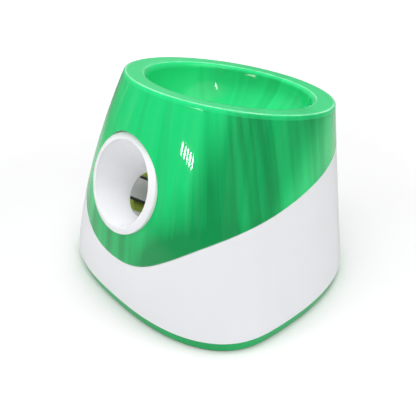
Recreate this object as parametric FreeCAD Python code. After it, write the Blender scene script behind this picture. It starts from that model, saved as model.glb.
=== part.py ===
import FreeCAD, Part
import math
import os

# Automatic ball launcher for dogs. Millimetres, +Z up, outlet towards -Y.
# Origin: on the floor, under the middle of the base.

V = FreeCAD.Vector
X, Y, Z = V(1, 0, 0), V(0, 1, 0), V(0, 0, 1)
os.makedirs("parts", exist_ok=True)

# ---- ball and clearances -------------------------------------------------------------
BALL = 50.0            # ball diameter the launcher is made for
BORE_PLAY = 1.5        # air round the ball in the barrel
DROP_PLAY = 2.5        # air round the ball in the vertical drop
GAP = 0.3              # between parts that only pass each other
SLIDE = 0.5            # round the striker in the barrel
FIT = 0.25             # round a spigot in its socket
LAP_PLAY = 0.35        # between the two skins of the lap joint
RUN = 0.06             # round a turning axle
PILOT = 0.05           # round a screw in its pilot hole

# ---- housing outlines: half width, reach to the front and back of the widest line -----
WALL = 3.0
BASE_HALF, BASE_FRONT, BASE_BACK, BASE_WIDE_Y, BASE_POWER = 160.0, 97.0, 211.0, -57.0, 2.45
MID_HALF, MID_FRONT, MID_BACK, MID_WIDE_Y = 139.5, 122.5, 168.0, -19.0
RIM_R, RIM_Y, RIM_Z, RIM_TILT = 120.0, 20.0, 229.5, 11.5
RIM_DEEP = 5.5         # height of the bowl's rolled rim over the shell
CASE_Z = 13.0          # lower edge of the white casing
OUT_POINTS = 28        # points round each outline

# ---- S-shaped joint between shell and casing ------------------------------------------
SEAM_Z, SEAM_SLOPE, SEAM_DIP, SEAM_RUN = 146.5, 0.2, 51.0, 26.0
SEAM_GAP = 0.35
LAP = 4.0              # height of the lap tongue behind the joint
LAP_SKIN = 1.5         # wall left outside the tongue

# ---- base tray ------------------------------------------------------------------------
FOOT_R, FOOT_H, FOOT_SINK = 11.0, 3.5, 2.0
TRAY_Z = FOOT_H - FOOT_SINK
TRAY_FLOOR, TRAY_WALL = 3.0, 2.6
TRAY_TOE, TRAY_TOP_IN = 3.2, 1.2      # how far the band stands in at floor and at top
TRAY_SPIGOT = 5.0
POST_R, POST_IN, POST_H = 5.5, 13.0, 34.0
SCREW_R, SCREW_HEAD_R, SCREW_HEAD_H, SCREW_LONG = 1.6, 3.4, 2.2, 24.0
BOSS_R, BOSS_TOP = 7.0, 14.0          # bosses for the chassis legs
POST_LOW = BOSS_TOP - 4.0             # lower end of the casing's posts
RIB_T, RIB_LIFT = 2.6, 6.5            # ribs between posts and wall
HEAD_SINK = 5.9                       # top of the chassis screws' heads over the tray's underside
VENTS, VENT_W, VENT_STEP, VENT_FROM, VENT_TO = 7, 4.0, 12.0, 56.0, 94.0
POST_TURNS = (-118, -62, 0, 52, 128, 180)     # degrees round the outline
FOOT_TURNS, FOOT_IN = (-130, -50, 48, 132), 34.0

# ---- outlet ---------------------------------------------------------------------------
RING_R, RING_OPEN_R, RING_Z, RING_LEAN = 55.0, 46.5, 154.0, 20.0
RING_SINK, RING_DEEP = 3.0, 15.0
PORT_GAP = 0.4         # shadow line round the ring
LAUNCH = 38.0          # climb of the barrel
CONE_DEEP = 41.0       # from the ring to the hole, along the barrel
CONE_WALL, COLLAR_WALL, COLLAR_LONG = 2.8, 3.4, 4.0
SOCKET_FROM = CONE_DEEP + 1.5         # step the barrel's end stands against
RING_FACE_IN, RING_FACE_MID, RING_FACE_OUT = 2.6, 0.15, -1.2       # face over the ring plane
RING_BACK, CONE_LIP = -6.0, 3.0       # ring's back under the plane; start of the cone's cut over it

# ---- barrel, striker and spring (lengths along the barrel from the ring) ---------------
BARREL_R = (BALL + 2 * BORE_PLAY) / 2
BARREL_WALL = 2.5
BARREL_END = 165.0
DROP_R = (BALL + 2 * DROP_PLAY) / 2
DROP_WALL, DROP_TOP = 3.0, 146.0
WINDOW_FROM, WINDOW_TO, WINDOW_A0, WINDOW_A1 = 45.6, 84.0, 28.0, 66.0
SLEEVE_TO, SLEEVE_WALL = 88.0, 2.8
DROP_LIP = 0.5         # the bowl's neck is this much wider than the drop
FLARE_WALL = 2.2       # round the neck's socket on top of the drop
STRIKER_AT, STRIKER_NOSE, STRIKER_LONG, STRIKER_SKIN = 100.0, 4.0, 45.0, 3.5
PAD_R, PAD_H = 21.0, 1.6
SEAT_AT, SEAT_T, SEAT_SPIGOT = 200.0, 3.0, 10.0
COIL_R, WIRE_R, TURNS = 14.0, 1.1, 6

# ---- cocking drive ---------------------------------------------------------------------
MODULE, GEAR_TEETH, PINION_TEETH, SECTOR_TEETH = 1.5, 36, 12, 12
BACKLASH = 0.6         # per pair, shared by both members
COCK_ANGLE = 108.0
RACK_HALF_W, GEAR_LAYER = 4.0, 8.0
RACK_ROOT, TOOTH_TIP = 1.25 * MODULE, 0.92 * MODULE
PRESSURE = math.radians(20)
WEB_HOLE_R, WEB_HOLE_AT, WEB_HOLES = 4.5, 15.5, 6
RACK_BACK = 4.6        # rack bar behind its pitch line
GEAR_PITCH_R = MODULE * GEAR_TEETH / 2
PINION_R = MODULE * PINION_TEETH / 2
STROKE = math.radians(COCK_ANGLE) * GEAR_PITCH_R
RACK_X = BARREL_R - SLIDE + RACK_BACK
GEAR_X = RACK_X + GEAR_PITCH_R
GEAR_T = STRIKER_AT + STRIKER_NOSE + STROKE + 3.0
PINION_AT = 20.0       # direction from gear to pinion
PINION_X = GEAR_X + (GEAR_PITCH_R + PINION_R) * math.cos(math.radians(PINION_AT))
PINION_T = GEAR_T + (GEAR_PITCH_R + PINION_R) * math.sin(math.radians(PINION_AT))
AXLE_R, HUB_R = 3.0, 7.0
MOTOR_R, MOTOR_H, HEAD_R, HEAD_H, SHAFT_R = 14.0, 36.0, 17.0, 24.0, 3.0
MOTOR_COLLAR, GROOVE_AT = 3.0, (6.0, 16.0)

# ---- chassis ---------------------------------------------------------------------------
PLATE_T = 3.0
PLATE_W = -(RACK_HALF_W + 5.0)         # upper face of the gear plate
BRIDGE_W = RACK_HALF_W + 1.0 + GEAR_LAYER + 2.3
SADDLE_WALL, SADDLE_TO = 3.8, 138.0
PLATE_FROM, PLATE_TO, PLATE_X, PLATE_LEFT = 118.0, SEAT_AT, 119.0, -60.0
LEG_R = 6.0
PILLAR_R, PILLAR_SCREW = 3.6, 12.0
FLANGE_T, FLANGE_H = 3.0, 12.0        # flanges the spring seat is fixed to

# ---- ball sensor -----------------------------------------------------------------------
PIN_R, PIN_HALF, LEVER_HALF, LEVER_T = 1.5, 9.0, 3.2, 2.6
LEVER_OUT, LEVER_DOWN = 6.0, 8.5       # pivot, out from the drop and down from its step
LEVER_SLOT = 4.0                       # half width of the slot the lever swings through

# ---- controls at the back ---------------------------------------------------------------
PANEL_Z, PANEL_HALF, PANEL_R = 76.0, 20.0, 18.0
BUTTON_R, BUTTON_TRAVEL, BUTTON_PROUD = 8.5, 1.5, 1.6
BUTTON_Z = PANEL_Z + 4.0
LENS_R, LENS_STEP, LENS_Z = 2.2, 11.0, PANEL_Z - 11.0
INLET_Z, INLET_FLANGE = 36.0, 8.0
BOARD_Y, BOARD_T, BOARD_HALF, BOARD_Z, BOARD_H = 112.0, 1.6, 46.0, 9.0, 92.0

# ---- bowl -------------------------------------------------------------------------------
BOWL_R, BOWL_WALL, BOWL_FLOOR_Z = 94.0, 2.8, 152.0
NECK_LONG, NECK_WALL = 9.0, 2.4
RIM_ROLL, MOUTH_ROLL = 4.2, 9.0        # rounding of the rim, outside and inside


# ========================= helpers =======================================================
def through(s, low, mid, high):
    """Value at height share s on the parabola through base, middle and rim."""
    return low * (1 - s) * (1 - 2 * s) + mid * 4 * s * (1 - s) + high * s * (2 * s - 1)


def tilt_at(s):
    return s * math.tan(math.radians(RIM_TILT))


def half_sizes(s, inset):
    flat = math.cos(math.radians(RIM_TILT))
    return (through(s, BASE_HALF, MID_HALF, RIM_R) - inset,
            through(s, BASE_FRONT, MID_FRONT, RIM_R * flat) - inset,
            through(s, BASE_BACK, MID_BACK, RIM_R * flat) - inset,
            through(s, BASE_WIDE_Y, MID_WIDE_Y, RIM_Y),
            BASE_POWER + (2.0 - BASE_POWER) * s)


def outline_point(s, inset, turn):
    """Point of the housing at height share s; turn 0 is +X, 90 degrees is the back."""
    half, front, back, wide_y, power = half_sizes(s, inset)
    c, q = math.cos(turn), math.sin(turn)
    x = half * math.copysign(abs(c) ** (2 / power), c)
    dy = (front if q < 0 else back) * math.copysign(abs(q) ** (2 / power), q)
    z = CASE_Z + s * (RIM_Z - CASE_Z) - tilt_at(s) * dy
    return V(x, wide_y + dy, z)


def closed_curve(points):
    curve = Part.BSplineCurve()
    curve.interpolate(Points=points, PeriodicFlag=True)
    return Part.Wire([curve.toShape()])


def section(s, inset=0.0):
    return closed_curve([outline_point(s, inset, 2 * math.pi * i / OUT_POINTS - math.pi / 2)
                         for i in range(OUT_POINTS)])


def housing(inset=0.0, low=0.0, high=1.0):
    """Solid of the whole housing, drawn in by inset, from height share low to high."""
    shares = [low, 0.25, 0.5, 0.75, high]
    return Part.makeLoft([section(s, inset) for s in shares], True, False)


def face_at(z, turn):
    """Point of the housing at height z in the direction turn, found by halving."""
    low, high = 0.0, 1.0
    for _ in range(40):
        s = (low + high) / 2
        if outline_point(s, 0.0, turn).z < z:
            low = s
        else:
            high = s
    return outline_point(low, 0.0, turn)


def tube(r, length, base=None, axis=None):
    return Part.makeCylinder(r, length, base or V(0, 0, 0), axis or Z)


def box(x0, x1, y0, y1, z0, z1):
    return Part.makeBox(x1 - x0, y1 - y0, z1 - z0, V(x0, y0, z0))


def placed(shape, placement):
    out = shape.copy()
    out.Placement = placement.multiply(out.Placement)
    return out


def fuse(first, *others):
    return first.multiFuse(list(others)).removeSplitter()


def ring_edge(centre, axis, r):
    circle = Part.Circle()
    circle.Center, circle.Radius = centre, r
    circle.Axis = axis
    circle.XAxis = X
    return Part.Wire([circle.toShape()])


# Frames: the ring faces out along +Z of RING; the barrel runs along +Y of MECH.
FRONT, REAR = -math.pi / 2, math.pi / 2
OUTLET = V(0, face_at(RING_Z, FRONT).y + RING_SINK, RING_Z)
RING = FreeCAD.Placement(OUTLET, FreeCAD.Rotation(X, 90.0 - RING_LEAN))
MECH = FreeCAD.Placement(OUTLET, FreeCAD.Rotation(X, -LAUNCH))
RIM = FreeCAD.Placement(V(0, RIM_Y, RIM_Z), FreeCAD.Rotation(X, -RIM_TILT))
OUTWARD = RING.Rotation.multVec(Z)
INWARD = MECH.Rotation.multVec(Y)
UPWARD = MECH.Rotation.multVec(Z)
BACK = face_at(PANEL_Z, REAR)
INLET_Y = face_at(INLET_Z, REAR).y


def barrel_point(t, x=0.0, w=0.0):
    return MECH.multVec(V(x, t, w))


# The waiting ball drops where it will lie against the drawn-back striker.
REST_T = STRIKER_AT - PAD_H + STROKE - BALL / 2
DROP = barrel_point(REST_T)
LEVER = V(0, DROP.y + DROP_R + DROP_WALL + LEVER_OUT, DROP_TOP - NECK_LONG - LEVER_DOWN)


# ========================= housing =======================================================
SEAM_START = BASE_WIDE_Y - BASE_FRONT


def seam_z(y):
    """Height of the joint: a gentle climb to the back, with a dip that dies away from the front."""
    return SEAM_Z + SEAM_SLOPE * y - SEAM_DIP * math.exp(-(y - SEAM_START) / SEAM_RUN)


def below_seam(lift):
    """Everything under the joint, raised by lift."""
    reach = BASE_HALF + 20
    y0, y1 = SEAM_START - 10, BASE_WIDE_Y + BASE_BACK + 10
    points = [V(-reach, y0 + (y1 - y0) * i / 16, 0) for i in range(17)]
    points = [V(p.x, p.y, seam_z(p.y) + lift) for p in points]
    curve = Part.BSplineCurve()
    curve.interpolate(Points=points)
    a, b = V(-reach, y0, -20), V(-reach, y1, -20)
    corners = [points[-1], b, a, points[0]]
    edges = [curve.toShape()] + [Part.makeLine(p, q) for p, q in zip(corners, corners[1:])]
    return Part.Face(Part.Wire(edges)).extrude(V(2 * reach, 0, 0))


def above_rim(drop):
    """Half space above the rim plane lowered by drop."""
    return placed(box(-200, 200, -220, 220, -drop, 120), RIM)


def inside(inset):
    """Space inside the housing at this inset, open past the floor and the rim."""
    return housing(inset, -0.06, 1.06)


def upper_shell():
    body = housing().cut(inside(WALL)).cut(below_seam(SEAM_GAP / 2)).cut(above_rim(RIM_DEEP + 0.4))
    lap = inside(LAP_SKIN).cut(inside(WALL + 1)).common(below_seam(LAP + 2 * GAP)).cut(below_seam(-3))
    return body.cut(lap).cut(placed(tube(RING_R + PORT_GAP, 60, V(0, 0, -35)), RING))


def floor_point(turn, inset):
    """Point on the floor under the base outline, turn in degrees, drawn in by inset."""
    p = outline_point(0.0, inset, math.radians(turn))
    return V(p.x, p.y, 0)


def post_spots():
    """Screw posts round the base."""
    return [floor_point(turn, POST_IN) for turn in POST_TURNS]


def stadium(grow, y0, y1):
    """Prism of the control panel's outline, along Y."""
    r = PANEL_R + grow
    half = PANEL_HALF
    mid = box(-half, half, y0, y1, PANEL_Z - r, PANEL_Z + r)
    ends = [tube(r, y1 - y0, V(sx * half, y0, PANEL_Z), Y) for sx in (-1, 1)]
    return fuse(mid, *ends)


def post_and_rib(p):
    """Screw post at p and the rib that ties it to the wall."""
    out = V(p.x, p.y - BASE_WIDE_Y - (BASE_BACK - BASE_FRONT) / 2, 0)
    out.normalize()
    corner = p - V(-out.y, out.x, 0) * (RIB_T / 2)
    rib = Part.makeBox(POST_IN, RIB_T, POST_H - 4, V(0, 0, 0))
    turned = FreeCAD.Rotation(Z, math.degrees(math.atan2(out.y, out.x)))
    rib.Placement = FreeCAD.Placement(V(corner.x, corner.y, CASE_Z + RIB_LIFT), turned)
    return [tube(POST_R, POST_H, V(p.x, p.y, POST_LOW)), rib]


def lower_casing():
    tongue = inside(LAP_SKIN + LAP_PLAY).cut(inside(WALL)).common(below_seam(LAP)).cut(below_seam(-8))
    body = housing().cut(inside(WALL)).common(below_seam(-SEAM_GAP / 2)).fuse(tongue)
    posts = [piece for p in post_spots() for piece in post_and_rib(p)]
    body = body.fuse(posts[0].multiFuse(posts[1:]).common(housing(WALL / 2, -0.06, 1.0)))
    for p in post_spots():
        body = body.cut(tube(SCREW_R + PILOT, SCREW_LONG + 8, p))
    body = body.cut(stadium(GAP, BACK.y - 12, BACK.y + 8))
    body = body.cut(tube(INLET_FLANGE + GAP, 20, V(0, INLET_Y - 12, INLET_Z), Y))
    return body.removeSplitter()


def level(inset, z):
    """Base outline drawn in by inset, flat at height z."""
    turns = [2 * math.pi * i / OUT_POINTS - math.pi / 2 for i in range(OUT_POINTS)]
    outline = [outline_point(0.0, inset, turn) for turn in turns]
    return closed_curve([V(p.x, p.y, z) for p in outline])


def slab(inset_low, z_low, inset_high, z_high):
    return Part.makeLoft([level(inset_low, z_low), level(inset_high, z_high)], True, True)


def leg_spots():
    """Chassis legs: the middle of each leg's top, on the gear plate."""
    w = PLATE_W - PLATE_T / 2
    sides, ends = (PLATE_LEFT + 10, PLATE_X - 10), (PLATE_FROM + 9, PLATE_TO - 14)
    return [barrel_point(t, x, w) for x in sides for t in ends]


def foot_spots():
    return [floor_point(turn, FOOT_IN) for turn in FOOT_TURNS]


def base_tray():
    top = CASE_Z - GAP
    spigot_in = WALL + LAP_PLAY
    reach = [-BASE_HALF - 9, BASE_HALF + 9, BASE_WIDE_Y - BASE_FRONT - 9, BASE_WIDE_Y + BASE_BACK + 9]
    body = slab(TRAY_TOE, TRAY_Z, TRAY_TOP_IN, top)
    body = body.fuse(inside(spigot_in).common(box(*reach, top - 1.0, top + TRAY_SPIGOT)))
    body = body.cut(slab(TRAY_TOE + TRAY_WALL, TRAY_Z + TRAY_FLOOR, spigot_in + TRAY_WALL + 1.6, top - 1.2))
    body = body.cut(inside(spigot_in + TRAY_WALL).common(box(*reach, top - 1.7, top + 9)))
    adds, holes = [], []
    for p in post_spots():
        adds.append(tube(POST_R + 0.8, POST_LOW - GAP - TRAY_Z, p + V(0, 0, TRAY_Z)))
        holes.append(tube(POST_R + GAP, 40, p + V(0, 0, POST_LOW - GAP)))
        holes.append(tube(SCREW_R + 0.3, 40, p))
        holes.append(tube(SCREW_HEAD_R + 0.3, SCREW_HEAD_H + 0.6, p + V(0, 0, TRAY_Z - 0.1)))
    for p in leg_spots():
        adds.append(tube(BOSS_R, BOSS_TOP - TRAY_Z, V(p.x, p.y, TRAY_Z)))
        holes.append(tube(SCREW_R + 0.3, 40, V(p.x, p.y, 0)))
        holes.append(tube(SCREW_HEAD_R + 0.3, HEAD_SINK + 0.1, V(p.x, p.y, TRAY_Z - 0.1)))
    for p in foot_spots():
        adds.append(tube(FOOT_R + 2.5, FOOT_SINK + 2.0, p + V(0, 0, TRAY_Z)))
        holes.append(tube(FOOT_R + PILOT, FOOT_SINK, p + V(0, 0, TRAY_Z)))
    for x in (4 - BOARD_HALF, BOARD_HALF - 4):
        adds.append(box(x - 5, x + 5, BOARD_Y - 3.5, BOARD_Y + BOARD_T + 3.5, TRAY_Z, BOARD_Z + 12))
    for i in range(VENTS):
        x = VENT_STEP * (i - (VENTS - 1) / 2)
        holes.append(box(x - VENT_W / 2, x + VENT_W / 2, VENT_FROM, VENT_TO, 0, 12))
    keep = slab(TRAY_TOE + 1, TRAY_Z, TRAY_TOE + 1, top + TRAY_SPIGOT)
    body = body.multiFuse([a.common(keep) for a in adds])
    body = body.cut(holes[0].multiFuse(holes[1:]))
    board = box(-BOARD_HALF - FIT, BOARD_HALF + FIT, BOARD_Y - FIT, BOARD_Y + BOARD_T + FIT, BOARD_Z, 60)
    return body.cut(board).removeSplitter()


def rubber_feet():
    feet = []
    for p in foot_spots():
        foot = tube(FOOT_R, FOOT_H, V(p.x, p.y, 0))
        edges = [e for e in foot.Edges if abs(e.BoundBox.ZMax) < 1e-6]
        feet.append(foot.makeChamfer(0.9, edges))
    return Part.makeCompound(feet)


def screw(p, head_z, length):
    """Screw pointing up, its head underneath."""
    head = tube(SCREW_HEAD_R, SCREW_HEAD_H, V(p.x, p.y, head_z))
    return head.fuse(tube(SCREW_R, length, V(p.x, p.y, head_z + SCREW_HEAD_H))).removeSplitter()


def casing_screws():
    return Part.makeCompound([screw(p, TRAY_Z + 0.5, SCREW_LONG) for p in post_spots()])


def frame_screws():
    return Part.makeCompound([screw(p, TRAY_Z + HEAD_SINK - SCREW_HEAD_H, 16.0) for p in leg_spots()])


# ========================= bowl ==========================================================
HOLE_R = DROP_R + DROP_LIP


def bowl_sections(grow, drop):
    """Circles from the rim down to the ball hole; the dish is steep outside, shallow inside."""
    mouth, hole = V(0, RIM_Y, RIM_Z), V(0, DROP.y, BOWL_FLOOR_Z)
    wires = []
    for step in (0.0, 0.16, 0.38, 0.62, 0.82, 1.0):
        share = math.sin(step * math.pi / 2)          # depth share
        spread = (1 - share ** 2.2) ** (1 / 1.6)      # radius share
        r = HOLE_R + (BOWL_R - HOLE_R) * spread
        centre = hole + (mouth - hole) * (0.25 * (1 - share) + 0.75 * spread)
        centre.z = hole.z + (mouth.z - hole.z) * (1 - share)
        tilt = math.radians(RIM_TILT) * (1 - share)
        wires.append(ring_edge(centre - V(0, 0, drop), V(0, math.sin(tilt), math.cos(tilt)), r + grow))
    return wires


def mouth_roll():
    """What the rounding of the bowl's mouth takes away: an arc turned round the rim's axis."""
    def on_arc(a):
        return V(BOWL_R + MOUTH_ROLL * (0.9 - math.cos(a)), 0, -MOUTH_ROLL * (1 - math.sin(a)))
    arc = Part.Arc(on_arc(0.45), on_arc(0.95), on_arc(1.45)).toShape()
    top, low = V(on_arc(1.45).x + 0.6, 0, 1.0), on_arc(0.45) - V(3.0, 0, 3.0 / math.tan(0.45))
    corners = [on_arc(1.45), top, V(0, 0, 1.0), V(0, 0, low.z), low, on_arc(0.45)]
    wire = Part.Wire([arc] + [Part.makeLine(p, q) for p, q in zip(corners, corners[1:])])
    return placed(Part.Face(wire).revolve(V(0, 0, 0), Z, 360), RIM)


def hopper_bowl():
    tall = RIM_Z - CASE_Z
    roll = [math.radians(a) for a in (0, 25, 50, 72, 88)]
    edge = [section(1 - (2 * RIM_ROLL + RIM_DEEP) / tall), section(1 - (RIM_ROLL + RIM_DEEP / 2) / tall)]
    edge += [section(1 - RIM_ROLL * (1 - math.sin(a)) / tall, RIM_ROLL * (1 - math.cos(a))) for a in roll]
    rim = Part.makeLoft(edge, True, False).common(above_rim(RIM_DEEP))
    dish = Part.makeLoft(bowl_sections(BOWL_WALL, BOWL_WALL * 0.75), True, False)
    above = ring_edge(RIM.multVec(V(0, 0, 8.0)), RIM.Rotation.multVec(Z), BOWL_R + 0.6)
    hollow = Part.makeLoft([above] + bowl_sections(0.0, 0.0)[1:], True, False)
    skirt = housing(WALL + FIT, 0.5, 1.0).cut(housing(WALL + FIT + 2.2, 0.45, 1.06))
    skirt = skirt.common(above_rim(RIM_DEEP + 6)).cut(above_rim(RIM_DEEP - 1))
    neck = tube(HOLE_R + NECK_WALL, NECK_LONG + 6, V(0, DROP.y, BOWL_FLOOR_Z - NECK_LONG - 1))
    body = rim.multiFuse([dish, skirt, neck])
    bore = tube(HOLE_R, 40, V(0, DROP.y, BOWL_FLOOR_Z - 30))
    return body.cut(hollow).cut(bore).cut(mouth_roll())


# ========================= outlet and barrel ==============================================
def bezel():
    """Ring whose nearly flat face rises inwards, turned round the outlet's axis."""
    inner, outer = RING_OPEN_R - 5, RING_R
    start, end = V(inner, 0, RING_FACE_IN), V(outer, 0, RING_FACE_OUT)
    face = Part.Arc(start, V((RING_R + RING_OPEN_R) / 2, 0, RING_FACE_MID), end).toShape()
    corners = [end, V(outer, 0, -RING_DEEP), V(outer - 3, 0, -RING_DEEP), V(outer - 3, 0, RING_BACK),
               V(inner, 0, RING_BACK), start]
    wire = Part.Wire([face] + [Part.makeLine(p, q) for p, q in zip(corners, corners[1:])])
    return placed(Part.Face(wire).revolve(V(0, 0, 0), Z, 360), RING)


def outlet_funnel():
    """Bezel and a cone that runs off-axis from the leaning ring to the hole across the barrel."""
    flare = (RING_OPEN_R - BARREL_R) / CONE_DEEP          # widening of the cone per millimetre
    socket_r = BARREL_R + BARREL_WALL + FIT
    outside = Part.makeLoft([ring_edge(OUTLET - OUTWARD * 1.6, OUTWARD, RING_OPEN_R + CONE_WALL),
                             ring_edge(barrel_point(CONE_DEEP + 0.5), INWARD * -1, BARREL_R + CONE_WALL)],
                            True, True)
    hollow = Part.makeLoft([ring_edge(OUTLET - INWARD * CONE_LIP, OUTWARD, RING_OPEN_R + flare * CONE_LIP),
                            ring_edge(barrel_point(CONE_DEEP), INWARD * -1, BARREL_R)], True, True)
    collar = tube(socket_r + COLLAR_WALL, COLLAR_LONG + 3, barrel_point(CONE_DEEP - 3), INWARD)
    socket = tube(socket_r, COLLAR_LONG, barrel_point(SOCKET_FROM), INWARD)
    bore = tube(BARREL_R, COLLAR_LONG + 9, barrel_point(CONE_DEEP - 0.5), INWARD)
    body = bezel().multiFuse([outside, collar])
    return body.cut(hollow).cut(socket).cut(bore).removeSplitter()


BARREL_FROM = SOCKET_FROM + 0.2
FLARE_R = HOLE_R + NECK_WALL + FIT     # socket on top of the drop, for the bowl's neck


def barrel_windows():
    """Four wedges that open the barrel's sides, two on either hand."""
    wedges = []
    for mid in (0, 180):
        for side in (-1, 1):
            first, last = sorted((mid + side * WINDOW_A0, mid + side * WINDOW_A1))
            wedge = Part.makeCylinder(BARREL_R + BARREL_WALL + 5, WINDOW_TO - WINDOW_FROM, V(0, 0, 0), Z,
                                      last - first)
            wedge.rotate(V(0, 0, 0), Z, first)
            wedge.rotate(V(0, 0, 0), X, -90)
            wedge.translate(V(0, WINDOW_FROM, 0))
            wedges.append(placed(wedge, MECH))
    return wedges


def launch_barrel():
    """Barrel, the upright drop that feeds it and the sensor's ears and shelf."""
    length = BARREL_END - BARREL_FROM
    wall_y = DROP.y + DROP_R
    barrel = tube(BARREL_R + BARREL_WALL, length, barrel_point(BARREL_FROM), INWARD)
    chute = tube(DROP_R + DROP_WALL, DROP_TOP - DROP.z, DROP)
    flare = tube(FLARE_R + FLARE_WALL, NECK_LONG + 1.5, V(0, DROP.y, DROP_TOP - NECK_LONG - 1.5))
    ears = [box(x - 1.5, x + 1.5, wall_y + 1, LEVER.y + 4.5, LEVER.z - 4.5, LEVER.z + 4.5) for x in (-6, 6)]
    shelf = box(-7.5, 7.5, wall_y + 1, LEVER.y + 28, LEVER.z + 5.0, LEVER.z + 7.0)
    body = barrel.multiFuse([chute, flare, shelf] + ears)
    body = body.cut(tube(BARREL_R, length + 20, barrel_point(BARREL_FROM - 10), INWARD))
    body = body.cut(tube(DROP_R, 200, DROP))
    body = body.cut(tube(FLARE_R, 20, V(0, DROP.y, DROP_TOP - NECK_LONG)))
    for wedge in barrel_windows():
        body = body.cut(wedge)
    half = RACK_HALF_W + 1
    rack_way = box(BARREL_R - 6, BARREL_R + 14, STRIKER_AT - 1, BARREL_END + 5, -half, half)
    lever_way = box(-LEVER_SLOT, LEVER_SLOT, wall_y - 4, wall_y + DROP_WALL + 4, LEVER.z - 21, LEVER.z + 3)
    body = body.cut(placed(rack_way, MECH)).cut(lever_way)
    body = body.cut(tube(PIN_R + RUN, 40, LEVER - V(20, 0, 0), X))
    return body.removeSplitter()


def guide_sleeve():
    """Coloured sleeve round the barrel's front, cut clear of the drop."""
    r = BARREL_R + BARREL_WALL + FIT
    from_t = CONE_DEEP + COLLAR_LONG + GAP
    body = tube(r + SLEEVE_WALL, SLEEVE_TO - from_t, barrel_point(from_t), INWARD)
    body = body.cut(tube(r, SLEEVE_TO, barrel_point(from_t - 5), INWARD))
    body = body.cut(tube(DROP_R + DROP_WALL + GAP, 200, V(0, DROP.y, 0)))
    body = body.cut(tube(FLARE_R + FLARE_WALL + GAP, 60, V(0, DROP.y, DROP_TOP - NECK_LONG - 2)))
    return max(body.Solids, key=lambda solid: solid.Volume)


# ========================= striker and drive =============================================
def flank(base_r, r):
    """Involute angle at radius r."""
    if r <= base_r:
        return 0.0
    a = math.acos(base_r / r)
    return math.tan(a) - a


def gear_outline(teeth, present, turn):
    """Closed outline of a gear; only the teeth listed in present are cut, first at turn."""
    pitch = MODULE * teeth / 2
    base = pitch * math.cos(PRESSURE)
    root, tip = pitch - RACK_ROOT, pitch + TOOTH_TIP
    half = (math.pi * MODULE / 2 - BACKLASH / 2) / (2 * pitch)
    steps = [max(base, root + 0.02) + (tip - max(base, root + 0.02)) * i / 2 for i in range(3)]
    points = []
    for k in range(teeth):
        mid = math.radians(turn) + 2 * math.pi * k / teeth
        if k in present:
            sides = [(root, half + flank(base, pitch))]
            sides += [(r, half + flank(base, pitch) - flank(base, r)) for r in steps]
            points += [(r, mid - a) for r, a in sides] + [(r, mid + a) for r, a in reversed(sides)]
        else:
            points += [(root, mid - math.pi / teeth * 0.5), (root, mid + math.pi / teeth * 0.5)]
    pts = [V(r * math.cos(a), r * math.sin(a), 0) for r, a in points]
    return Part.Face(Part.makePolygon(pts + [pts[0]]))


def sector_gear():
    """A full ring of teeth for the pinion and, under it, a toothed sector for the rack."""
    full = gear_outline(GEAR_TEETH, range(GEAR_TEETH), 0.0).extrude(V(0, 0, GEAR_LAYER))
    full.translate(V(GEAR_X, GEAR_T, RACK_HALF_W + 1))
    part = gear_outline(GEAR_TEETH, range(SECTOR_TEETH), 180.0).extrude(V(0, 0, 2 * RACK_HALF_W + 1.2))
    part.translate(V(GEAR_X, GEAR_T, -RACK_HALF_W))
    hub = tube(HUB_R, BRIDGE_W - PLATE_W - 2 * GAP, V(GEAR_X, GEAR_T, PLATE_W + GAP))
    body = fuse(full, part, hub)
    for k in range(WEB_HOLES):
        a = 2 * math.pi * k / WEB_HOLES
        spot = V(GEAR_X + WEB_HOLE_AT * math.cos(a), GEAR_T + WEB_HOLE_AT * math.sin(a), -30)
        body = body.cut(tube(WEB_HOLE_R, 60, spot))
    return placed(body.cut(tube(AXLE_R + RUN, 80, V(GEAR_X, GEAR_T, -40))), MECH)


def gear_axle():
    low = PLATE_W - PLATE_T
    return placed(tube(AXLE_R, BRIDGE_W + PLATE_T - low, V(GEAR_X, GEAR_T, low)), MECH)


def drive_pinion():
    turn = PINION_AT + 180.0 + 180.0 / PINION_TEETH
    body = gear_outline(PINION_TEETH, range(PINION_TEETH), turn).extrude(V(0, 0, GEAR_LAYER))
    body.translate(V(PINION_X, PINION_T, RACK_HALF_W + 1))
    low = PLATE_W + GAP
    shaft = tube(SHAFT_R, BRIDGE_W + PLATE_T + 0.5 - low, V(PINION_X, PINION_T, low))
    return placed(fuse(body, shaft), MECH)


def motor_bridge():
    low = BRIDGE_W
    plate = box(GEAR_X - 16, PLATE_X, PLATE_FROM, PLATE_TO - 3, low, low + PLATE_T)
    upright = [e for e in plate.Edges if abs(e.tangentAt(e.FirstParameter).z) > 0.9]
    plate = plate.makeFillet(7.0, upright)
    holes = [tube(AXLE_R + PILOT, 40, V(GEAR_X, GEAR_T, low - 20)),
             tube(SHAFT_R + 0.4, 40, V(PINION_X, PINION_T, low - 20))]
    holes += [tube(SCREW_R + FIT, 40, V(x, t, low - 20)) for x, t in pillar_spots()]
    return placed(plate.cut(holes[0].multiFuse(holes[1:])), MECH)


def pillar_spots():
    return [(GEAR_X + 8, PLATE_TO - 8), (PLATE_X - 7, GEAR_T + 1), (GEAR_X + 12, PLATE_FROM + 5)]


def bridge_screws():
    top, screws = BRIDGE_W + PLATE_T, []
    for x, t in pillar_spots():
        shank = tube(SCREW_R, PILLAR_SCREW, V(x, t, top - PILLAR_SCREW))
        head = tube(SCREW_HEAD_R, SCREW_HEAD_H, V(x, t, top))
        screws.append(placed(head.fuse(shank).removeSplitter(), MECH))
    return Part.makeCompound(screws)


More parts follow.
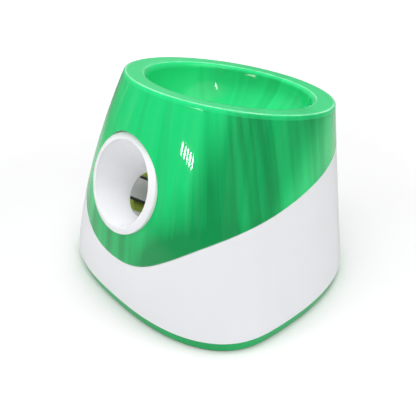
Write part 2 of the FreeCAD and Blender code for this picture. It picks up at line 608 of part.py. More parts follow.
def gearhead():
    low = BRIDGE_W + PLATE_T
    body = tube(HEAD_R, HEAD_H, V(PINION_X, PINION_T, low))
    body = body.fuse(tube(MOTOR_R + 1.5, MOTOR_COLLAR, V(PINION_X, PINION_T, low + HEAD_H)))
    for h in GROOVE_AT:
        spot = V(PINION_X, PINION_T, low + h)
        body = body.cut(tube(HEAD_R + 1, 1.0, spot).cut(tube(HEAD_R - 0.8, 1.0, spot)))
    return placed(body.cut(tube(SHAFT_R + 0.3, 2.5, V(PINION_X, PINION_T, low))), MECH)


def drive_motor():
    low = BRIDGE_W + PLATE_T + HEAD_H + MOTOR_COLLAR
    top = low + MOTOR_H
    can = tube(MOTOR_R, MOTOR_H, V(PINION_X, PINION_T, low))
    can = can.makeFillet(2.0, [e for e in can.Edges if e.BoundBox.ZMin > top - 0.1])
    cap = tube(5.0, 3.0, V(PINION_X, PINION_T, top))
    tabs = [box(x - 1.6, x + 1.6, PINION_T - 0.4, PINION_T + 0.4, top - 0.5, top + 5)
            for x in (PINION_X - 8, PINION_X + 8)]
    return placed(fuse(can, cap, *tabs), MECH)


def rack_tooth(t):
    """One straight-flanked tooth of the rack with its middle at t."""
    half, lean = (math.pi * MODULE - BACKLASH) / 4, math.tan(PRESSURE)
    low, high = RACK_X - 1.3 * MODULE, RACK_X + TOOTH_TIP
    wide, narrow = half + lean * 1.3 * MODULE, half - lean * TOOTH_TIP
    corners = [V(low, t - wide, -RACK_HALF_W), V(high, t - narrow, -RACK_HALF_W),
               V(high, t + narrow, -RACK_HALF_W), V(low, t + wide, -RACK_HALF_W)]
    tooth = Part.Face(Part.makePolygon(corners + [corners[0]])).extrude(V(0, 0, 2 * RACK_HALF_W))
    return tooth, t - wide, t + wide


def striker():
    """Cup with a rack on its side, long enough for the sector's whole bite."""
    r, pitch = BARREL_R - SLIDE, math.pi * MODULE
    first, last = STRIKER_AT + STRIKER_NOSE, GEAR_T + 1.9 * pitch
    cup = tube(r, STRIKER_LONG, V(0, STRIKER_AT, 0), Y)
    cup = cup.makeFillet(1.6, [e for e in cup.Edges if e.BoundBox.YMax < STRIKER_AT + 0.01])
    bar = box(r - 2.0, RACK_X - RACK_ROOT, first, last, -RACK_HALF_W, RACK_HALF_W)
    teeth = [rack_tooth(GEAR_T + (1.5 - k) * pitch) for k in range(int((last - first) / pitch) + 1)]
    body = cup.multiFuse([bar] + [tooth for tooth, low, high in teeth if low >= first and high <= last])
    body = body.cut(tube(r - STRIKER_SKIN, 200, V(0, first, 0), Y))
    return placed(body.removeSplitter(), MECH)


def striker_pad():
    body = tube(PAD_R, PAD_H, V(0, STRIKER_AT - PAD_H, 0), Y)
    edges = [e for e in body.Edges if e.BoundBox.YMax < STRIKER_AT - PAD_H + 0.01]
    body = body.makeFillet(1.2, edges)
    return placed(body, MECH)


def striker_spring():
    start, end = STRIKER_AT + STRIKER_NOSE, SEAT_AT
    low, length = start + WIRE_R, end - start - 2 * WIRE_R
    helix = Part.makeHelix(length / TURNS, length, COIL_R)
    sixths = [i * math.pi / 3 for i in range(7)]
    profile = Part.makePolygon([V(COIL_R + WIRE_R * math.cos(a), 0, WIRE_R * math.sin(a)) for a in sixths])
    body = Part.Wire(helix.Edges).makePipeShell([profile], True, True)
    body.rotate(V(0, 0, 0), X, -90)
    body.translate(V(0, low, 0))
    return placed(body, MECH)


def spring_seat():
    """Cross plate with a spigot for the spring and a window the rack runs through."""
    plate = box(PLATE_LEFT, -PLATE_LEFT, SEAT_AT, SEAT_AT + SEAT_T, PLATE_W - PLATE_T, FLANGE_H + 3)
    plate = plate.fuse(tube(COIL_R - WIRE_R - 0.6, SEAT_SPIGOT, V(0, SEAT_AT - SEAT_SPIGOT, 0), Y))
    window = box(BARREL_R - SLIDE - 3.5, RACK_X + MODULE + 1.0, SEAT_AT - 1, SEAT_AT + SEAT_T + 1,
                 -RACK_HALF_W - 1, RACK_HALF_W + 1)
    return placed(plate.cut(window).removeSplitter(), MECH)


def mechanism_frame():
    """Saddle under the barrel, gear plate, flanges, pillars and four upright legs."""
    r, low = BARREL_R + BARREL_WALL, PLATE_W - PLATE_T
    saddle = tube(r + SADDLE_WALL, SADDLE_TO - SLEEVE_TO, V(0, SLEEVE_TO, 0), Y)
    saddle = saddle.cut(box(-60, 60, 0, 300, PLATE_W + 1, 60))
    plates = [box(x0, x1, PLATE_FROM, PLATE_TO, low, PLATE_W)
              for x0, x1 in ((20, PLATE_X), (PLATE_LEFT, -20))]
    flanges = [box(x0, x1, PLATE_TO - FLANGE_T, PLATE_TO, low, FLANGE_H)
               for x0, x1 in ((GEAR_X - 18, -PLATE_LEFT), (PLATE_LEFT, -40))]
    pillars = [tube(PILLAR_R, BRIDGE_W - PLATE_W + 1, V(x, t, PLATE_W - 1)) for x, t in pillar_spots()]
    body = saddle.multiFuse(plates + flanges + pillars)
    body = body.cut(tube(r + GAP, BARREL_END + 1 - SLEEVE_TO, V(0, SLEEVE_TO, 0), Y))
    body = body.cut(tube(BARREL_R + 0.8, 100, V(0, BARREL_END - 2, 0), Y))
    body = body.cut(tube(AXLE_R + PILOT, 40, V(GEAR_X, GEAR_T, low - 10)))
    holes = [tube(SCREW_R + PILOT, 14, V(x, t, BRIDGE_W - 13)) for x, t in pillar_spots()]
    body = placed(body.cut(holes[0].multiFuse(holes[1:])), MECH)
    under = placed(box(-200, 200, 0, 300, -200, PLATE_W - 0.5), MECH)
    legs = [tube(LEG_R, p.z + 12 - BOSS_TOP, V(p.x, p.y, BOSS_TOP)).common(under) for p in leg_spots()]
    body = body.multiFuse(legs)
    for p in leg_spots():
        body = body.cut(tube(SCREW_R + PILOT, 12, V(p.x, p.y, BOSS_TOP - 1)))
    return body.removeSplitter()


# ========================= ball sensor ====================================================
def rod_plate(points, r, half):
    """Flat link of width 2*half in X through points in YZ, round ended."""
    pieces = []
    for a, b in zip(points, points[1:]):
        d = b - a
        bar = Part.makeBox(2 * half, d.Length, 2 * r, V(-half, 0, -r))
        bar.Placement = FreeCAD.Placement(a, FreeCAD.Rotation(X, math.degrees(math.atan2(d.z, d.y))))
        pieces.append(bar)
    pieces += [tube(r, 2 * half, p - V(half, 0, 0), X) for p in points]
    return pieces[0].multiFuse(pieces[1:]).removeSplitter()


def ball_lever():
    """Two-armed lever: the tip hangs into the drop, the tail works the switch."""
    tip = LEVER + V(0, -15.0, -13.5)
    tail = LEVER + V(0, 16.0, -13.0)
    body = rod_plate([tip, LEVER, tail], LEVER_T / 2, LEVER_HALF)
    body = body.fuse(tube(3.2, 2 * LEVER_HALF, LEVER - V(LEVER_HALF, 0, 0), X))
    return body.cut(tube(PIN_R + RUN, 40, LEVER - V(20, 0, 0), X)).removeSplitter()


def lever_pin():
    pin = tube(PIN_R, 2 * PIN_HALF, LEVER - V(PIN_HALF, 0, 0), X)
    return pin.fuse(tube(2.6, 1.2, LEVER - V(PIN_HALF, 0, 0), X)).removeSplitter()


def micro_switch():
    z = LEVER.z + 5.0
    body = box(-3.2, 3.2, LEVER.y + 10, LEVER.y + 27, z - 6.5, z)
    return body.fuse(box(-1.2, 1.2, LEVER.y + 14, LEVER.y + 17, z - 7.0, z - 6))


# ========================= controls =======================================================
def control_bezel():
    body = housing(-0.7).cut(inside(WALL + 0.8)).common(stadium(0.0, BACK.y - 14, BACK.y + 10))
    body = body.cut(tube(BUTTON_R + GAP, 60, V(0, BACK.y - 30, BUTTON_Z), Y))
    for i in (-1, 0, 1):
        body = body.cut(tube(LENS_R + PILOT, 60, V(i * LENS_STEP, BACK.y - 30, LENS_Z), Y))
    return body.removeSplitter()


def power_button():
    """Cap flush with the curved back, a flange behind the bezel and a stem to the switch."""
    stem = BOARD_Y + BOARD_T + 3.2 + BUTTON_TRAVEL
    flange = V(0, BACK.y - 9.5, BUTTON_Z)
    cap = tube(BUTTON_R, 16, V(0, BACK.y - 6, BUTTON_Z), Y).common(housing(-BUTTON_PROUD))
    return fuse(cap, tube(2.5, BACK.y - 4 - stem, V(0, stem, BUTTON_Z), Y),
                tube(BUTTON_R + 2.2, 1.6, flange, Y), tube(BUTTON_R, 4.5, flange, Y))


def indicator_lenses():
    rods = [tube(LENS_R, 14, V(i * LENS_STEP, BACK.y - 7, LENS_Z), Y) for i in (-1, 0, 1)]
    return Part.makeCompound([rod.common(housing(-1.1)) for rod in rods])


def dc_inlet():
    y = INLET_Y
    half = INLET_FLANGE + 1.5
    body = tube(INLET_FLANGE, WALL + 2.0, V(0, y - WALL - 1.9, INLET_Z), Y)
    body = body.fuse(box(-half, half, y - 17, y - WALL - 1.4, INLET_Z - half, INLET_Z + half))
    body = body.cut(tube(3.3, 12, V(0, y - 9, INLET_Z), Y))
    return body.fuse(tube(1.0, 9, V(0, y - 9.5, INLET_Z), Y)).removeSplitter()


def control_board():
    """Upright board with the switch, three lights, a chip, a connector and two capacitors."""
    board = box(-BOARD_HALF, BOARD_HALF, BOARD_Y, BOARD_Y + BOARD_T, BOARD_Z, BOARD_Z + BOARD_H)
    face = BOARD_Y + BOARD_T
    low = face - 0.2                   # parts are sunk a little, so that they join the board
    switch = box(-4, 4, low, face + 3.2, BUTTON_Z - 4, BUTTON_Z + 4)
    chip = box(20, 34, low, face + 2.4, 28, 42)
    connector = box(-34, -14, low, face + 7, 24, 34)
    capacitors = [tube(5, 11, V(26, low, 60), Y), tube(4, 9, V(-28, low, 56), Y)]
    lights = [box(x - 1.5, x + 1.5, low, face + 1.2, LENS_Z - 1.5, LENS_Z + 1.5)
              for x in (-LENS_STEP, 0, LENS_STEP)]
    return board.multiFuse([switch, chip, connector] + capacitors + lights).removeSplitter()


MAKERS = [
    upper_shell, lower_casing, hopper_bowl, base_tray, outlet_funnel, launch_barrel, guide_sleeve,
    striker, striker_pad, striker_spring, spring_seat, mechanism_frame, sector_gear, gear_axle,
    drive_pinion, motor_bridge, gearhead, drive_motor, ball_lever, lever_pin, micro_switch,
    control_board, power_button, indicator_lenses, control_bezel, dc_inlet, rubber_feet,
    casing_screws, frame_screws, bridge_screws,
]

for make in MAKERS:
    make().exportStep("parts/%s.step" % make.__name__)
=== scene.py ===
"""Looks of an automatic ball launcher for dogs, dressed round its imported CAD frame.

Metres, +Z up; the ball leaves towards -Y. The housing is one smooth surface, a function of the turn
round it and the share of its height; shell, casing and rim are cut from it along their edge lines.
"""

import logging
import math
from dataclasses import dataclass, field
from enum import Enum
from typing import Callable, Optional, Sequence

import bpy
import numpy as np
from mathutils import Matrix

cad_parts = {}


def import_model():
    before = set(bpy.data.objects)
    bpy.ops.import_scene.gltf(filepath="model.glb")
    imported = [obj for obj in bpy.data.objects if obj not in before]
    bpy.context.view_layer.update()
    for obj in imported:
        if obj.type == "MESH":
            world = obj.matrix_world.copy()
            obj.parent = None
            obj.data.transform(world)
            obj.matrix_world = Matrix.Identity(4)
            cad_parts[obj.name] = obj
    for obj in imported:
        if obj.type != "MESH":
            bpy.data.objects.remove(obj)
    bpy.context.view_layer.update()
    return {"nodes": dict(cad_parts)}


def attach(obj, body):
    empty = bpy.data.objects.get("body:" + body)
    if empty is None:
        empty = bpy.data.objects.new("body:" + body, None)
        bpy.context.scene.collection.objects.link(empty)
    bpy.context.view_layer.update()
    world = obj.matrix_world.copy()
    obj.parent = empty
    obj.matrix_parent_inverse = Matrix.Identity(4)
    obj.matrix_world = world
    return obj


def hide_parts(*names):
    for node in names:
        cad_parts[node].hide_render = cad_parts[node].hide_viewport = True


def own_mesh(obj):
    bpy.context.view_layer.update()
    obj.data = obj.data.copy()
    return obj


LOG = logging.getLogger("ball_launcher")
MM = 0.001
TAU = 2.0 * math.pi
Array = np.ndarray
Piece, Tree, Node, Socket = bpy.types.Object, bpy.types.NodeTree, bpy.types.Node, bpy.types.NodeSocket
AXIS_X, AXIS_Y, AXIS_Z = np.eye(3)
EDGE_TURNS = tuple(math.radians(a) for a in (0, 30, 60, 90))     # rows of a quarter-round edge


# ------------------------------------------------------------------ frames and small maths
def unit(v: Array) -> Array:
    """Returns v scaled to length one along its last axis."""
    return v / np.maximum(np.linalg.norm(v, axis=-1, keepdims=True), 1e-12)


def smooth_step(t: Array) -> Array:
    """Returns 3t^2 - 2t^3 with t held between 0 and 1."""
    t = np.clip(t, 0.0, 1.0)
    return t * t * (3.0 - 2.0 * t)


@dataclass(frozen=True)
class Ring:
    """A circle frame: centre, two in-plane directions and the way it faces, in mm."""

    centre: Array
    across: Array
    up: Array
    out: Array

    def circle(self, turn: Array, radius: float, lift: float = 0.0) -> Array:
        """Points centre + radius*(cos turn across + sin turn up) + lift*out.

        Args:
            turn: angles in radians.
            radius: circle radius in mm.
            lift: distance along the facing direction in mm.

        Returns:
            An array of shape (len(turn), 3).
        """
        c, s = np.cos(turn)[:, None], np.sin(turn)[:, None]
        return self.centre + radius * (c * self.across + s * self.up) + lift * self.out


def leaned(centre: Sequence[float], degrees: float) -> Ring:
    """Returns a ring frame turned about +X, from flat (facing +Z) by the given degrees."""
    a = math.radians(degrees)
    return Ring(np.array(centre, float), AXIS_X,
                np.array([0.0, math.cos(a), math.sin(a)]), np.array([0.0, -math.sin(a), math.cos(a)]))


# ------------------------------------------------------------------ mesh building
class MeshKit:
    """Turns whole arrays of points and faces into Blender objects at the origin."""

    @staticmethod
    def build(name: str, points: Array, quads: Array, smooth: bool = True) -> Piece:
        """Makes an object from points in mm and quads as index rows.

        Args:
            name: name of the piece.
            points: (n, 3) array in mm.
            quads: (m, 4) array of point numbers, counter-clockwise from outside.
            smooth: whether the faces shade smoothly.

        Returns:
            The new object, linked to the scene.
        """
        mesh = bpy.data.meshes.new(name)
        count = len(quads)
        mesh.vertices.add(len(points))
        mesh.vertices.foreach_set("co", (points * MM).astype(np.float32).ravel())
        mesh.loops.add(count * 4)
        mesh.loops.foreach_set("vertex_index", quads.astype(np.int32).ravel())
        mesh.polygons.add(count)
        mesh.polygons.foreach_set("loop_start", np.arange(0, count * 4, 4, dtype=np.int32))
        mesh.polygons.foreach_set("use_smooth", np.full(count, smooth))
        mesh.update(calc_edges=True)
        mesh.validate()
        made = bpy.data.objects.new(name, mesh)
        bpy.context.scene.collection.objects.link(made)
        return made

    @staticmethod
    def ring_quads(rows: int, columns: int, closed_rows: bool = True, first: int = 0) -> Array:
        """Quads of a grid whose columns close on themselves, and its rows too if asked.

        Args:
            rows: rings of points.
            columns: points on each ring.
            closed_rows: whether the last ring joins the first.
            first: number of the grid's first point.

        Returns:
            (m, 4) array of point numbers.
        """
        j = np.arange(rows if closed_rows else rows - 1)[:, None]
        i = np.arange(columns)[None, :]
        j2, i2 = (j + 1) % rows, (i + 1) % columns
        quads = np.stack([j * columns + i, j * columns + i2, j2 * columns + i2, j2 * columns + i], axis=-1)
        return quads.reshape(-1, 4) + first

    @classmethod
    def loops(cls, name: str, rings: Sequence[Array]) -> Piece:
        """Joins rings of equal length into one closed skin, last ring to first.

        Args:
            name: name of the piece.
            rings: (n, 3) arrays in mm, in order round the profile.

        Returns:
            The new object.
        """
        return cls.build(name, np.concatenate(rings), cls.ring_quads(len(rings), len(rings[0])))

    @classmethod
    def slabs(cls, name: str, pairs: Sequence[tuple[Array, Array]]) -> Piece:
        """Closes pairs of (rows, columns, 3) grids into slabs, all in one object.

        Args:
            name: name of the piece.
            pairs: outer and inner grid of each slab, the outer one wound towards its own outside.

        Returns:
            The new object.
        """
        points, quads, first = [], [], 0
        for outer, inner in pairs:
            rows, columns, _ = outer.shape
            at = np.arange(rows * columns).reshape(rows, columns)
            face = np.stack([at[:-1, :-1], at[:-1, 1:], at[1:, 1:], at[1:, :-1]], axis=-1).reshape(-1, 4)
            edge = np.concatenate([at[0, :-1], at[:-1, -1], at[-1, :0:-1], at[:0:-1, 0]])
            ahead, under = np.roll(edge, -1), rows * columns
            side = np.stack([ahead, edge, edge + under, ahead + under], axis=-1)
            quads.append(np.concatenate([face, face[:, ::-1] + under, side]) + first)
            points += [outer.reshape(-1, 3), inner.reshape(-1, 3)]
            first += 2 * under
        return cls.build(name, np.concatenate(points), np.concatenate(quads))


# ------------------------------------------------------------------ the housing surface
@dataclass(frozen=True)
class Housing:
    """The outer surface. At height share s the plan is a superellipse with its own front and back
    reach, its radius taken round as a sum of harmonics that fade out, so it is smooth everywhere.
    Sizes in mm."""

    base: tuple[float, float, float, float] = (160.0, 97.0, 211.0, -57.0)   # half, front, back, wide y
    middle: tuple[float, float, float, float] = (139.5, 122.5, 168.0, -19.0)
    rim_r: float = 120.0
    rim_y: float = 20.0
    rim_z: float = 229.5
    rim_tilt: float = 11.5
    case_z: float = 13.0
    power: float = 2.45        # of the superellipse at the foot; 2 at the rim
    harmonics: int = 14
    samples: int = 128         # angles at which the plan is measured
    degree: int = 6            # of each harmonic's polynomial in s
    wall: float = 3.0
    drawn_in: float = 0.25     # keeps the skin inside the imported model's box

    def _rim(self) -> tuple[float, float, float, float]:
        """Returns the rim circle as half, front, back and middle y in plan."""
        flat = self.rim_r * math.cos(math.radians(self.rim_tilt))
        return self.rim_r, flat, flat, self.rim_y

    def _shape(self, s: Array) -> tuple[Array, ...]:
        """Returns the parabola through base, middle and rim for each size, at height share s."""
        low, mid, high = self.base, self.middle, self._rim()
        return tuple(a * (1 - s) * (1 - 2 * s) + b * 4 * s * (1 - s) + c * s * (2 * s - 1)
                     for a, b, c in zip(low, mid, high))

    def waves(self) -> tuple[Array, Array]:
        """Harmonics of the plan radius as polynomials in s.

        Returns:
            Cosine and sine polynomial coefficients, each (degree + 1, harmonics + 1).
        """
        s = np.linspace(-0.1, 1.1, 25)[:, None]
        turn = np.arange(self.samples)[None, :] * TAU / self.samples
        half, front, back, _ = self._shape(s)
        power = self.power + (2.0 - self.power) * s
        reach = np.where(np.sin(turn) < 0, front, back)
        wide, long = np.abs(np.cos(turn)) / half, np.abs(np.sin(turn)) / reach
        radius = (wide ** power + long ** power) ** (-1 / power)
        waves = np.fft.rfft(radius, axis=1)[:, :self.harmonics + 1] / self.samples
        k = np.arange(self.harmonics + 1)
        waves = waves * np.sinc(k / (self.harmonics + 4.0)) ** 0.35 * np.where(k == 0, 1.0, 2.0)
        return (np.polynomial.polynomial.polyfit(s[:, 0], waves.real, self.degree),
                np.polynomial.polynomial.polyfit(s[:, 0], -waves.imag, self.degree))

    def point(self, turn: Array, s: Array, inset: float | Array = 0.0) -> Array:
        """Points of the surface.

        The plan radius r(turn, s) is taken less the inset and drawn_in. Then x = r cos turn and
        y = wide y + r sin turn, and the height case_z + s * rise leans back by s * tan(tilt) for each mm
        of depth.

        Args:
            turn: angles, 0 towards +X and a quarter turn to the back.
            s: height shares, same shape.
            inset: mm the plan is drawn in.

        Returns:
            Array of shape turn.shape + (3,).
        """
        turn, s = np.broadcast_arrays(np.asarray(turn, float), np.asarray(s, float))
        cos_part, sin_part = WAVES
        powers = s[..., None] ** np.arange(cos_part.shape[0])
        angle = turn[..., None] * np.arange(cos_part.shape[1])
        waves = (powers @ cos_part) * np.cos(angle) + (powers @ sin_part) * np.sin(angle)
        radius = waves.sum(-1) - inset - self.drawn_in
        dy = radius * np.sin(turn)
        z = self.case_z + s * (self.rim_z - self.case_z) - s * math.tan(math.radians(self.rim_tilt)) * dy
        return np.stack([radius * np.cos(turn), self._shape(s)[3] + dy, z], axis=-1)

    def frame(self, turn: Array, s: Array) -> tuple[Array, Array, Array]:
        """Measures the surface by central differences.

        Args:
            turn: angles.
            s: height shares, same shape.

        Returns:
            Points, outward normals and mm of surface per unit of s.
        """
        e = 1e-3
        along = self.point(turn + e, s) - self.point(turn - e, s)
        rise = (self.point(turn, s + e) - self.point(turn, s - e)) / (2 * e)
        return self.point(turn, s), unit(np.cross(along, rise)), np.linalg.norm(rise, axis=-1)

    def share_where(self, turn: Array, height: Callable[[Array], Array]) -> Array:
        """Height share at which the surface meets height(point) = 0, by halving.

        Args:
            turn: angles.
            height: signed height of points over the edge line, rising with s.

        Returns:
            Array of shares.
        """
        low, high = np.full(turn.shape, -0.2), np.full(turn.shape, 1.2)
        for _ in range(40):
            mid = (low + high) / 2
            over = height(self.point(turn, mid)) > 0
            low, high = np.where(over, low, mid), np.where(over, mid, high)
        return (low + high) / 2


HOUSING = Housing()
WAVES = HOUSING.waves()
RIM_CENTRE = (0.0, HOUSING.rim_y, HOUSING.rim_z)
SEAM_LEVEL, SEAM_SLOPE = 146.5, 0.2                  # the joint's height at y = 0, and its rise with y
SEAM_DIP, SEAM_FRONT, SEAM_FADE = 51.0, 154.0, 26.0  # depth of its dip in front, where, how fast it fades


def seam_height(p: Array) -> Array:
    """Height of points over the S-shaped joint: a slope to the back, an exponential dip in front."""
    y = p[..., 1]
    return p[..., 2] - (SEAM_LEVEL + SEAM_SLOPE * y - SEAM_DIP * np.exp(-(y + SEAM_FRONT) / SEAM_FADE))


def rim_height(p: Array) -> Array:
    """Height of points over the leaning rim plane."""
    a = math.radians(HOUSING.rim_tilt)
    return (p[..., 1] - HOUSING.rim_y) * math.sin(a) + (p[..., 2] - HOUSING.rim_z) * math.cos(a)


# ------------------------------------------------------------------ walls with openings
@dataclass(frozen=True)
class Opening:
    """A hole through a wall, drawn in a ring frame: half length straight, round ends of radius r."""

    frame: Ring
    radius: float
    straight: float = 0.0
    window: tuple[float, float, float, float] = (-120.0, -60.0, 0.2, 0.8)   # turns in degrees, v shares

    def excess(self, p: Array) -> Array:
        """Measures points against the hole's outline, seen along its axis.

        Args:
            p: points in mm.

        Returns:
            How far each lies outside, negative inside.
        """
        d = p - self.frame.centre
        x, y = d @ self.frame.across, d @ self.frame.up
        return np.hypot(np.maximum(np.abs(x) - self.straight, 0.0), y) - self.radius


@dataclass
class Wall:
    """A moulded wall between two edge lines of the housing.

    profile lists (v, off, depth): v is the share between the edge lines, off a shift up the surface
    and depth the distance in from it, both in mm. The list runs once round the wall's section.
    """

    low: Callable[[Array], Array]
    high: Callable[[Array], Array]
    openings: list[Opening] = field(default_factory=list)
    columns: int = 360
    rows: int = 44
    edge: float = 0.6
    top_edge: float = 0.45
    margin: float = 0.5        # from an edge's rounding to the next row
    foot: Sequence[tuple[float, float]] = ()    # extra (off, depth) steps under the inner lower edge
    head: Sequence[tuple[float, float]] = ()    # the same over the inner upper edge

    def _arc(self, v: float, sign: float, outer: bool) -> list[tuple[float, float, float]]:
        """Quarter round of one edge.

        Args:
            v: share at the edge, 0 or 1.
            sign: +1 for the lower edge, -1 for the upper.
            outer: whether it is the outer face's rounding, from face to edge, or the inner one.

        Returns:
            Rows of (v, off, depth).
        """
        wall, e = HOUSING.wall, self.edge if sign > 0 else self.top_edge
        arc = [(v, sign * e * (1 - math.sin(a)), e * (1 - math.cos(a))) for a in EDGE_TURNS]
        return arc if outer else [(v, off, wall - d) for v, off, d in arc[::-1]]

    def _section(self) -> tuple[list[tuple[float, float, float]], int, int]:
        """Puts the section together.

        Returns:
            Rows of (v, off, depth), and the numbers of the first outer and inner face rows.
        """
        face = [(float(v), 0.0, 0.0) for v in np.linspace(0.035, 0.965, self.rows)]
        lead = self._arc(0.0, 1.0, True)[::-1] + [(0.0, self.edge + self.margin, 0.0)]
        outer = lead + face + [(1.0, -self.top_edge - self.margin, 0.0)] + self._arc(1.0, -1.0, True)
        head = [(1.0, o, d) for o, d in self.head] or self._arc(1.0, -1.0, False)
        foot = [(0.0, o, d) for o, d in self.foot] or self._arc(0.0, 1.0, False)[::-1]
        inner = [(v, 0.0, HOUSING.wall) for v, _, _ in face[::-1]]
        section = outer + head + inner + foot
        return section, len(lead), len(outer) + len(head)

    def _grid(self, turn: Array, v: Array, off: Array, depth: Array) -> Array:
        """Places points on the wall.

        Args:
            turn: angles.
            v: shares between the edge lines.
            off: mm up the surface.
            depth: mm in from the surface.

        Returns:
            Points in mm, one for each place.
        """
        low, high = (np.interp(turn % TAU, self._turns, line) for line in (self._low, self._high))
        s = low + v * (high - low)
        _, _, speed = HOUSING.frame(turn, s)
        p, normal, _ = HOUSING.frame(turn, s + off / speed)
        return p - normal * np.asarray(depth)[..., None]

    def build(self, name: str) -> Piece:
        """Builds the wall with its openings.

        Args:
            name: name of the piece.

        Returns:
            The new object.
        """
        fine = np.linspace(0.0, TAU, 1441)
        self._turns = fine
        self._low, self._high = self.low(fine), self.high(fine)
        section, first_out, first_in = self._section()
        v, off, depth = (np.array(c)[:, None] for c in zip(*section))
        turn = (np.arange(self.columns) * TAU / self.columns)[None, :]
        turn, v, off, depth = np.broadcast_arrays(turn, v, off, depth)
        points = [self._grid(turn, v, off, depth).reshape(-1, 3)]
        quads = MeshKit.ring_quads(len(section), self.columns).reshape(len(section), self.columns, 4)
        keep = np.ones(quads.shape[:2], bool)
        extra: list[Array] = []
        for hole in self.openings:
            made, faces = self._collar(hole, section, first_out, first_in, keep, sum(len(p) for p in points))
            points.append(made)
            extra.append(faces)
        every = np.concatenate([quads[keep]] + extra)
        return MeshKit.build(name, np.concatenate(points), every)

    def _collar(self, hole: Opening, section: list[tuple[float, float, float]], first_out: int, first_in: int,
                keep: Array, first: int) -> tuple[Array, Array]:
        """Fills the window round a hole with spokes from the window's edge to the hole and back inside.

        Each spoke is a straight line in (turn, v) from the hole's middle; halving finds where it meets
        the outline. The spoke's rows carry on round the hole's edge and return along the inner face.

        Args:
            hole: the opening.
            section: the wall's section.
            first_out: section row of the first outer face row.
            first_in: section row of the first inner face row.
            keep: mask of grid quads, cleared inside the window.
            first: number of the first new point.

        Returns:
            New points and quads.
        """
        a0, a1, v0, v1 = hole.window
        n, rows = self.columns, self.rows
        i0, i1 = round(math.radians(a0) / TAU * n), round(math.radians(a1) / TAU * n)
        face = np.array([section[first_out + r][0] for r in range(rows)])
        r0, r1 = int(np.searchsorted(face, v0)), int(np.searchsorted(face, v1))
        tall, wide = r1 - r0, i1 - i0
        i = np.concatenate([np.arange(i0, i1), np.full(tall, i1), np.arange(i1, i0, -1), np.full(tall, i0)])
        r = np.concatenate([np.full(wide, r0), np.arange(r0, r1), np.full(wide, r1), np.arange(r1, r0, -1)])
        columns = np.arange(i0, i1) % n
        keep[np.ix_(np.arange(first_out + r0, first_out + r1), columns)] = False
        keep[np.ix_(np.arange(first_in + rows - 1 - r1, first_in + rows - 1 - r0), columns)] = False
        turn_b, v_b = i * TAU / n, face[r]
        turn_c, v_c = self._middle(hole, (i0 + i1) * math.pi / n, (v0 + v1) / 2)
        zero = np.zeros(len(i))

        def spoke(t: Array, d: float) -> Array:
            """Points at share t of every spoke, from the hole's middle out, at depth d."""
            turn, v = turn_c + (turn_b - turn_c) * t, v_c + (v_b - v_c) * t
            return self._grid(turn, v, zero, np.full(len(i), d))

        low, high = zero.copy(), zero + 1.0
        for _ in range(36):
            mid = (low + high) / 2
            out = hole.excess(spoke(mid, 0.0)) > 0
            low, high = np.where(out, low, mid), np.where(out, mid, high)
        at = (low + high) / 2
        length = np.linalg.norm(spoke(at + 0.01, 0.0) - spoke(at, 0.0), axis=-1) / 0.01
        e, wall, steps = self.edge, HOUSING.wall, 12
        face_at = [1 - (1 - at - (e + self.margin) / length) * (q / steps) for q in range(1, steps + 1)]
        arc = [(at + e * (1 - math.sin(a)) / length, e * (1 - math.cos(a))) for a in EDGE_TURNS]
        rows_made = [spoke(t, 0.0) for t in face_at] + [spoke(t, d) for t, d in arc]
        rows_made += [spoke(t, wall - d) for t, d in arc[::-1]] + [spoke(t, wall) for t in face_at[::-1]]
        made = np.concatenate(rows_made)
        count, m = len(rows_made), len(i)
        outer = (first_out + r) * n + i % n
        inner = (first_in + rows - 1 - r) * n + i % n
        new = first + np.arange(count * m).reshape(count, m)
        strip = np.concatenate([outer[None, :], new, inner[None, :]])
        a, b = strip[:-1], strip[1:]
        faces = np.stack([a, np.roll(a, -1, axis=1), np.roll(b, -1, axis=1), b], axis=-1).reshape(-1, 4)
        return made, faces

    def _middle(self, hole: Opening, turn: float, v: float) -> tuple[float, float]:
        """Finds where the hole's axis meets the wall, by a few steps of Newton's method.

        Args:
            hole: the opening.
            turn: first guess of the angle.
            v: first guess of the share between the edge lines.

        Returns:
            Angle and share.
        """
        for _ in range(12):
            def miss(t: float, u: float) -> Array:
                """How far the wall's point at (t, u) lies from the axis, across and up."""
                p = self._grid(np.array([t]), np.array([u]), np.zeros(1), np.zeros(1))[0] - hole.frame.centre
                return np.array([p @ hole.frame.across, p @ hole.frame.up])
            here, e = miss(turn, v), 1e-4
            slope = np.stack([(miss(turn + e, v) - here) / e, (miss(turn, v + e) - here) / e], axis=1)
            step = np.linalg.solve(slope, here)
            turn, v = turn - step[0], v - step[1]
        return turn, v


# ------------------------------------------------------------------ finishes
def linear(code: str) -> tuple[float, float, float, float]:
    """Turns an sRGB hex colour into linear values with full alpha."""
    parts = [int(code[i:i + 2], 16) / 255 for i in (1, 3, 5)]
    return (*[c / 12.92 if c <= 0.04045 else ((c + 0.055) / 1.055) ** 2.4 for c in parts], 1.0)


def add_node(tree: Tree, kind: str, feeds: Optional[dict] = None, **settings: object) -> Node:
    """Adds a shader node.

    Args:
        tree: node tree.
        kind: node type name without its ShaderNode prefix.
        feeds: input name or number to a value, or to the socket or node that drives it.
        settings: attributes to set first.

    Returns:
        The node.
    """
    node = tree.nodes.new("ShaderNode" + kind)
    for key, value in settings.items():
        setattr(node, key, value)
    for key, feed in (feeds or {}).items():
        if isinstance(feed, Node):
            feed = feed.outputs[0]
        if isinstance(feed, Socket):
            tree.links.new(feed, node.inputs[key])
        else:
            node.inputs[key].default_value = feed
    return node


